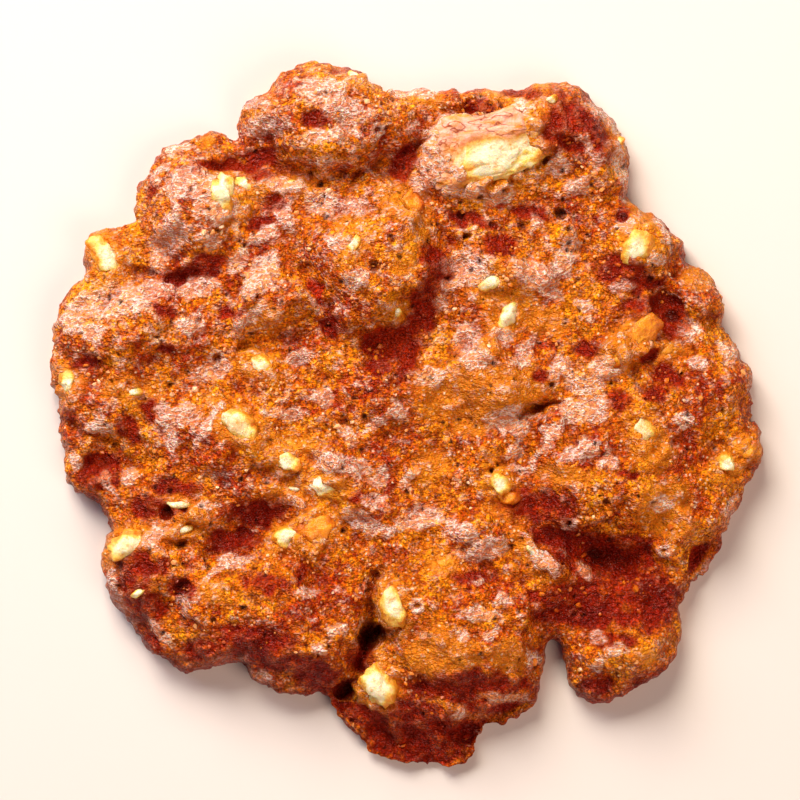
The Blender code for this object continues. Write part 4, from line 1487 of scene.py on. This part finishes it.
        # Painted sheen: a thin veil of pale film, fullest towards the upper left, where the light comes
        # from. Crests get it too, as painted highlight.
        painted_veil = self.painted_veil_share * np.clip(0.35 + (0.8 * y - 0.4 * x) / 45.0, 0.0, 1.0)
        film_and_sheen = self.glazed_film * glaze_and_sheen + (painted_veil + self.crest_highlight_share * crest) * edge + pale
        # Painted shade: the rim's slopes towards -Y, away from the light, are darker, and so is what lies
        # low in a patch of shade.
        rim = np.clip(-normals[:, 1], 0.0, 1.0) * (1.0 - edge)
        low = np.clip(0.5 - (height - near) / self.cover_mm, 0.0, 1.0)
        cover = (0.72 + 0.5 * low) * (1.0 - 0.6 * glaze_and_sheen)
        sunk = self.hollow_shade * hollow + self.basin_shade * basin
        deep = shaded * cover + sunk * (1.0 - 0.7 * soaked)
        piece = finished_piece(bm, "baked_dough", self.finish.material())
        # The hollow attribute carries the painted shade of patches, hollows, basins and the rim.
        add_attribute(piece, "film_and_sheen", film_and_sheen * shown)
        add_attribute(piece, "hollow", np.maximum(deep * shown, rim))
        add_attribute(piece, "pore", dark * shown)
        add_attribute(piece, "syrup", np.maximum(syrup, self.soaked_syrup * soaked) * shown)
        self.thin_underside(piece, level)
        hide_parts("biscuit")
        return piece

    def thin_underside(self, piece: bpy.types.Object, level: Array) -> None:
        """Takes most of the vertices out of the flat underside.

        Args:
            piece: The dough.
            level: The level of each vertex.
        """
        group = piece.vertex_groups.new(name="underside")
        under = level < self.underside_level
        group.add(np.flatnonzero(under).tolist(), 1.0, "REPLACE")
        modifier = piece.modifiers.new("thinned", "DECIMATE")
        modifier.vertex_group = group.name
        modifier.ratio = 1.0 - self.underside_thinning * float(under.mean())
        graph = bpy.context.evaluated_depsgraph_get()
        mesh = bpy.data.meshes.new_from_object(piece.evaluated_get(graph))
        piece.modifiers.clear()
        piece.data = mesh


@dataclass
class ChoppedBits:
    """The chopped bits of one kind in the dough, joined in one piece.

    Attributes:
        outline: The biscuit's outline.
        relief: The biscuit's baked top.
        kind: Which of the bits these are.
        finish: Their look.
        subdivisions: How fine their balls are.
        facets: How many flat cuts each bit has.
        grain: Fine unevenness of their faces.
        boxy: How round the bits are, from the boxiest to the roundest, 1 for a ball.
        cut_at: How far from the middle the flat cuts are, for a bit 1 wide.
        cut_share: How flat the cuts are, 1 for quite flat.
        deeper: How much deeper in the dough they sit than their share says, in millimetres.
        ripe_fall: How clean of syrup their middle is, and how fast that falls outwards.
        ripe_waves: Unevenness of how far syrup has soaked them, as a size and a share.
    """

    outline: Outline
    relief: Relief
    kind: Bit
    finish: PaleFlesh
    subdivisions: int = 4
    facets: int = 7
    grain: Waves = Waves(((1.3, 0.35), (0.6, 0.26), (0.35, 0.14)), 5.5)
    boxy: tuple[float, float] = (0.7, 0.95)
    cut_at: tuple[float, float] = (0.26, 0.44)
    cut_share: float = 0.8
    deeper: float = 0.22
    ripe_fall: tuple[float, float] = (1.15, 2.1)
    ripe_waves: tuple[float, float] = (0.9, 0.3)

    def one(self, bm: bmesh.types.BMesh, place: Placed) -> Array:
        """Adds one bit.

        Args:
            bm: Mesh that gets it.
            place: Where and how large it is.

        Returns:
            How clean of syrup the flesh is at each new vertex.
        """
        made = bmesh.ops.create_icosphere(bm, subdivisions=self.subdivisions, radius=0.5)["verts"]
        chooser = random.Random(round(1000 * (place.x + 3 * place.y)))
        unit = np.array([v.co[:] for v in made])
        unit = np.sign(unit) * np.abs(2 * unit) ** chooser.uniform(*self.boxy) / 2
        for _ in range(self.facets):
            normal = np.array([chooser.gauss(0, 1) for _ in range(3)])
            normal /= np.linalg.norm(normal)
            over = np.maximum(0.0, unit @ normal - chooser.uniform(*self.cut_at))
            unit -= self.cut_share * over[:, None] * normal
        clean, fall = self.ripe_fall
        ripe = clean - fall * np.hypot(unit[:, 0] - chooser.uniform(-0.1, 0.1), unit[:, 1])
        points = unit * (place.length, place.width, place.height)
        radial = points / np.linalg.norm(points, axis=1, keepdims=True)
        share = min(1.0, place.width / 2.0)
        size, unevenness = self.ripe_waves
        px, py, pz = (points + 7.0 * place.x).T
        ripe += unevenness * noise_at(px, py, pz, size)
        points += share * radial * self.grain.solid(points + place.x)[:, None]
        x, y = np.array([place.x]), np.array([place.y])
        ground = float(self.relief.top(x, y, self.outline.depth(x, y))[0])
        level = ground + (place.proud - 0.5) * place.height - self.deeper
        middle = Vector((place.x, place.y, level))
        turned = Matrix.Rotation(math.radians(place.turn), 3, "Z")
        for vert, point in zip(made, points):
            vert.co = turned @ Vector(point) + middle
        return ripe

    def build(self) -> bpy.types.Object:
        """Builds and dresses the bits.

        Returns:
            The finished piece.
        """
        bm = bmesh.new()
        ripe = [self.one(bm, place) for place in BITS if place.kind is self.kind]
        piece = finished_piece(bm, self.finish.name, self.finish.material())
        add_attribute(piece, "ripe", np.concatenate(ripe))
        return piece


@dataclass
class Chunk(ChoppedBits):
    """The one large chunk, which stands for its solid in the frame. Its +Y half is under a folded skin.

    Attributes:
        subdivisions: How fine its ball is.
        facets: How many flat cuts it has.
        grain: Fine unevenness of its faces.
        boxy: How round it is.
        deeper: How much deeper in the dough it sits than its share says.
        ripe_fall: How clean of syrup its flesh is at the cleanest, and how fast that falls around.
        clean_at: Where it is cleanest, in half lengths and half widths from the middle.
        fold_turn: Direction of the folds, in degrees from +X.
        fold_height: How high they stand.
        fold_mm: Spacing of the folds.
        fold_stretch: How much their noise changes along them, as a share of how much across.
        fold_seed: Picks the slice of noise that they are read from.
        slope: How much the -Y edge rises for each millimetre to +X.
        skin_from: Where the skin starts to the +Y side, and to the -X end, in half widths and lengths.
        skin_run: Over how much of a half width it grows to its full thickness.
        skin_thickness: How thick it is, in millimetres.
        skin_waves: Unevenness of the skin's edge.
        mottling: Unevenness of how far syrup has soaked the flesh.
        dents: Unevenness of its upper face.
    """

    subdivisions: int = 5
    facets: int = 2
    grain: Waves = Waves(((2.6, 0.6), (1.2, 0.4), (0.6, 0.32), (0.35, 0.16)), 5.5)
    boxy: tuple[float, float] = (0.5, 0.52)
    deeper: float = 0.45
    ripe_fall: tuple[float, float] = (1.2, 1.15)
    clean_at: tuple[float, float] = (0.25, -0.3)
    fold_turn: float = 36.0
    fold_height: float = 0.3
    fold_mm: float = 0.9
    fold_stretch: float = 0.35
    fold_seed: float = 33.0
    slope: float = 0.25
    skin_from: tuple[float, float] = (0.2, 0.55)
    skin_run: float = 0.22
    skin_thickness: float = 0.25
    skin_waves: Waves = Waves(((2.0, 0.35),), 12.0)
    mottling: tuple[Waves, Waves] = (Waves(((1.6, 0.6),), 41.0), Waves(((0.6, 0.5),), 43.0))
    dents: Waves = Waves(((0.7, 0.12),), 5.0)

    def build(self) -> bpy.types.Object:
        """Builds and dresses the chunk.

        Returns:
            The finished piece.
        """
        bm = bmesh.new()
        self.one(bm, CHUNK)
        points = coordinates(bm)
        x, y, _ = points.T
        place = (CHUNK.x, CHUNK.y, CHUNK.length / 2, CHUNK.width / 2, CHUNK.turn)
        along, across = turned_place(x, y, place)
        for vert, up in zip(bm.verts, self.slope * (x - CHUNK.x) * np.clip(0.5 - across, 0.0, 1.0)):
            vert.co.y += up
        side, end = self.skin_from
        inside = np.maximum(across - side, -along - end) + self.skin_waves.flat(x, y)
        skin = np.clip(inside / self.skin_run, 0.0, 1.0)
        mottled = self.mottling[0].flat(x, y) + self.mottling[1].flat(x, y)
        clean, fall = self.ripe_fall
        ripe = clean - fall * np.hypot(along - self.clean_at[0], across - self.clean_at[1]) + mottled
        a = math.radians(self.fold_turn)
        lengthways = x * math.cos(a) + y * math.sin(a)
        crossways = y * math.cos(a) - x * math.sin(a)
        wrinkled = noise_at(self.fold_stretch * lengthways, crossways, self.fold_seed, self.fold_mm)
        folds = 1.0 - 2.0 * np.abs(wrinkled)
        rise = skin * (self.skin_thickness + self.fold_height * (folds - 0.5)) + self.dents.flat(x, y)
        for vert, up in zip(bm.verts, rise * (points[:, 2] > points[:, 2].mean())):
            vert.co.z += up
        piece = finished_piece(bm, "large_chunk", self.finish.material())
        add_attribute(piece, "ripe", ripe)
        add_attribute(piece, "skin", skin)
        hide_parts("melon_chunk")
        return piece


@dataclass(frozen=True)
class CrumbSurface:
    """Broken crisp crumb: from toasted red brown through amber to pale, dry cream.

    Attributes:
        tones: Its sRGB hex colours, from the darkest crumbs to the palest.
    """

    tones: tuple[str, ...] = ("8c2402", "b84c04", "dc7c10", "f2a868", "ffe0b8")

    def material(self) -> bpy.types.Material:
        """Builds the material.

        Returns:
            The finished material.
        """
        material, tree, shader = new_material("loose_crumb")
        tone = add_node(tree, "ShaderNodeAttribute", {"attribute_name": "tone"})
        ramp = add_node(tree, "ShaderNodeValToRGB", links={"Fac": tone.outputs["Fac"]})
        stops = ramp.color_ramp.elements
        stops[0].color, stops[1].color = linear(self.tones[0]), linear(self.tones[-1])
        for k, colour in enumerate(self.tones[1:-1], 1):
            stops.new(k / (len(self.tones) - 1)).color = linear(colour)
        tree.links.new(ramp.outputs["Color"], shader.inputs["Base Color"])
        shader.inputs["Roughness"].default_value = 0.4
        shader.inputs["IOR"].default_value = SUGAR_IOR
        shader.inputs["Subsurface Weight"].default_value = 0.3
        shader.inputs["Subsurface Radius"].default_value = (1.0, 0.4, 0.12)
        shader.inputs["Subsurface Scale"].default_value = 0.4 * MM
        return material


@dataclass
class LooseCrumbs:
    """Small crumbs that stick to the baked top, joined in one piece.

    Attributes:
        grounds: The pieces they stick to.
        outline: The biscuit's outline.
        finish: Their look.
        tries: How many crumbs are dropped. Those that miss a crumbly patch are left out.
        size_mm: Smallest and largest crumb.
        stretch: Shortest and longest side of a crumb, for a size of 1.
        jag: Least and most that a corner stands out, for a size of 1.
        tone: Darkest, palest and most common tone, along the finish's tones.
        tone_spread: How far the tones of one crumb's corners are from its own.
        shade: How much darker the crumbs in a patch of painted shade are, as a share.
        patch_mm: Size of the crumbly patches.
        patch_seed: Picks the slice of noise that the patches are read from.
        crowding: How much of the noise makes a patch crumbly.
        bareness: How bare the top is between the patches.
        soaked_bareness: How much barer soaked dough is.
        margin: How far from the outline they stay.
        reach: Radius of the round on which they are dropped.
        drop_height: How high they are dropped from.
        seed: Picks their places.
    """

    grounds: Sequence[bpy.types.Object]
    outline: Outline
    finish: CrumbSurface
    tries: int = 9000
    size_mm: tuple[float, float] = (0.22, 0.6)
    stretch: tuple[float, float] = (0.6, 1.35)
    jag: tuple[float, float] = (0.6, 1.25)
    tone: tuple[float, float, float] = (0.2, 1.0, 0.6)
    tone_spread: float = 0.1
    shade: float = 0.55
    patch_mm: float = 3.6
    patch_seed: float = 17.0
    crowding: float = 1.4
    bareness: float = 0.1
    soaked_bareness: float = 0.3
    margin: float = 0.5
    reach: float = 31.0
    drop_height: float = 50.0
    seed: int = 23

    def top_at(self, x: float, y: float) -> Vector | None:
        """The highest point of the grounds over a place.

        Args:
            x: X of the place.
            y: Y of the place.

        Returns:
            The point in millimetres, or None where there is nothing underneath.
        """
        start = Vector((x, y, self.drop_height)) * MM
        casts = [ground.ray_cast(start, Vector((0.0, 0.0, -1.0))) for ground in self.grounds]
        spots = [spot / MM for hit, spot, _, _ in casts if hit]
        return max(spots, key=lambda spot: spot.z, default=None)

    def places(self, chooser: random.Random) -> Array:
        """Picks where the crumbs stick.

        Args:
            chooser: Source of the random numbers.

        Returns:
            One row for each crumb: X, Y, and how deep in painted shade it is.
        """
        reach = np.array([self.reach * math.sqrt(chooser.random()) for _ in range(self.tries)])
        angle = np.array([chooser.uniform(0.0, math.tau) for _ in range(self.tries)])
        lot = np.array([chooser.random() for _ in range(self.tries)])
        x, y = reach * np.cos(angle), reach * np.sin(angle)
        crumbly = self.crowding * noise_at(x, y, self.patch_seed, self.patch_mm) - self.bareness
        crumbly = crumbly - self.soaked_bareness * SOAKED.share(x, y)
        kept = (self.outline.depth(x, y) > self.margin) & (lot < crumbly)
        return np.stack([x, y, SHADED.share(x, y)], axis=1)[kept]

    def build(self) -> bpy.types.Object:
        """Builds and dresses the crumbs.

        Returns:
            The finished piece.
        """
        bpy.context.view_layer.update()
        chooser = random.Random(self.seed)
        ball = bmesh.new()
        bmesh.ops.create_icosphere(ball, subdivisions=1, radius=0.5)
        unit = coordinates(ball)
        faces = np.array([[v.index for v in f.verts] for f in ball.faces])
        ball.free()
        clouds, tones = [], []
        low, high = self.size_mm
        for x, y, dark in self.places(chooser):
            spot = self.top_at(x, y)
            if spot is None:
                continue
            size = low + (high - low) * chooser.random() ** 2
            stretch = np.array([chooser.uniform(*self.stretch) for _ in range(3)])
            jag = np.array([chooser.uniform(*self.jag) for _ in unit])[:, None]
            turn = Euler([chooser.uniform(0.0, math.tau) for _ in range(3)]).to_matrix()
            clouds.append((unit * jag * stretch * size) @ np.array(turn) + np.array(spot))
            # Crumbs in a patch of painted shade are painted darker too.
            tone = chooser.triangular(*self.tone) * (1.0 - self.shade * dark)
            tones += [tone + chooser.uniform(-self.tone_spread, self.tone_spread) for _ in unit]
        joined = np.concatenate([faces + k * len(unit) for k in range(len(clouds))])
        mesh = bpy.data.meshes.new("crumbs")
        mesh.from_pydata(np.concatenate(clouds).tolist(), [], joined.tolist())
        bm = bmesh.new()
        bm.from_mesh(mesh)
        piece = finished_piece(bm, "loose_crumbs", self.finish.material())
        bpy.data.meshes.remove(mesh)
        piece.data.shade_flat()
        add_attribute(piece, "tone", np.array(tones))
        return piece


@dataclass(frozen=True)
class Softbox:
    """One soft square light that faces the biscuit.

    Attributes:
        name: Its name.
        place: Where it hangs, in millimetres.
        width: Its width.
        power: Its power, in watts.
        colour: Its sRGB hex colour.
    """

    name: str
    place: tuple[float, float, float]
    width: float
    power: float
    colour: str


@dataclass
class Studio:
    """Pale floor, soft lights and the camera that looks straight down.

    Attributes:
        floor_half: Half the width of the floor, in millimetres.
        camera_height: How high the camera stands.
        view_width: Width of what the camera sees at the biscuit.
        view_middle: What is in the middle of its picture.
        softboxes: Its lights.
        room: Colour of the faint light that comes from all round.
        room_strength: Strength of that light.
    """

    floor_half: float = 900.0
    camera_height: float = 420.0
    view_width: float = 72.0
    view_middle: tuple[float, float] = (-0.63, 1.26)
    softboxes: tuple[Softbox, ...] = (
        Softbox("key_softbox", (-130.0, 330.0, 290.0), 260.0, 3.22, "fff0de"),
        Softbox("sky_softbox", (-330.0, 330.0, 240.0), 380.0, 1.6, "ece6ff"),
        Softbox("fill_softbox", (300.0, -260.0, 380.0), 400.0, 1.85, "ffdcc6"),
    )
    room: str = "b8a4dc"
    room_strength: float = 0.06

    def floor(self) -> None:
        """Lays the floor."""
        bm = bmesh.new()
        bmesh.ops.create_grid(bm, x_segments=1, y_segments=1, size=self.floor_half * MM)
        mesh = bpy.data.meshes.new("floor")
        bm.to_mesh(mesh)
        bm.free()
        mesh.materials.append(FloorPaint().material())
        floor = bpy.data.objects.new("floor", mesh)
        bpy.context.scene.collection.objects.link(floor)

    @staticmethod
    def light(box: Softbox) -> None:
        """Hangs one light.

        Args:
            box: The light.
        """
        lamp = bpy.data.lights.new(box.name, "AREA")
        lamp.size = box.width * MM
        lamp.energy = box.power
        lamp.color = linear(box.colour)[:3]
        holder = bpy.data.objects.new(box.name, lamp)
        spot = Vector(box.place) * MM
        holder.location = spot
        holder.rotation_euler = spot.to_track_quat("Z", "Y").to_euler()
        bpy.context.scene.collection.objects.link(holder)

    def camera(self) -> None:
        """Sets up the camera."""
        lens = bpy.data.cameras.new("camera")
        lens.lens = lens.sensor_width * self.camera_height / self.view_width
        holder = bpy.data.objects.new("camera", lens)
        holder.location = Vector((*self.view_middle, self.camera_height)) * MM
        bpy.context.scene.collection.objects.link(holder)
        bpy.context.scene.camera = holder

    def build(self) -> None:
        """Sets up the whole studio."""
        self.floor()
        for box in self.softboxes:
            self.light(box)
        world = bpy.data.worlds.new("soft_room")
        bpy.context.scene.world = world
        world.use_nodes = True
        background = world.node_tree.nodes["Background"]
        background.inputs["Color"].default_value = linear(self.room)
        background.inputs["Strength"].default_value = self.room_strength
        bpy.context.scene.view_settings.view_transform = "Standard"
        self.camera()


def main() -> None:
    """Builds the biscuit's pieces and the studio, and reports each piece."""
    logging.basicConfig(level=logging.INFO, format="%(message)s")
    outline, relief = Outline(), Relief()
    nut = PaleFlesh()
    melon = PaleFlesh(
        name="candied_melon",
        flesh="fa9e18",
        waxy="e4800a",
        edge="c45a04",
        stain="b85008",
        grain_mm=0.6,
    )
    parts = (
        Dough(outline, relief, BakedDough()),
        ChoppedBits(outline, relief, Bit.NUT, nut),
        ChoppedBits(outline, relief, Bit.MELON, melon),
        Chunk(outline, relief, Bit.NUT, nut),
    )
    pieces = [part.build() for part in parts]
    pieces.append(LooseCrumbs((pieces[0],), outline, CrumbSurface()).build())
    for piece in pieces:
        log.info("%s: %d faces", piece.name, len(piece.data.polygons))
    Studio().build()


if __name__ == "__main__":
    main()
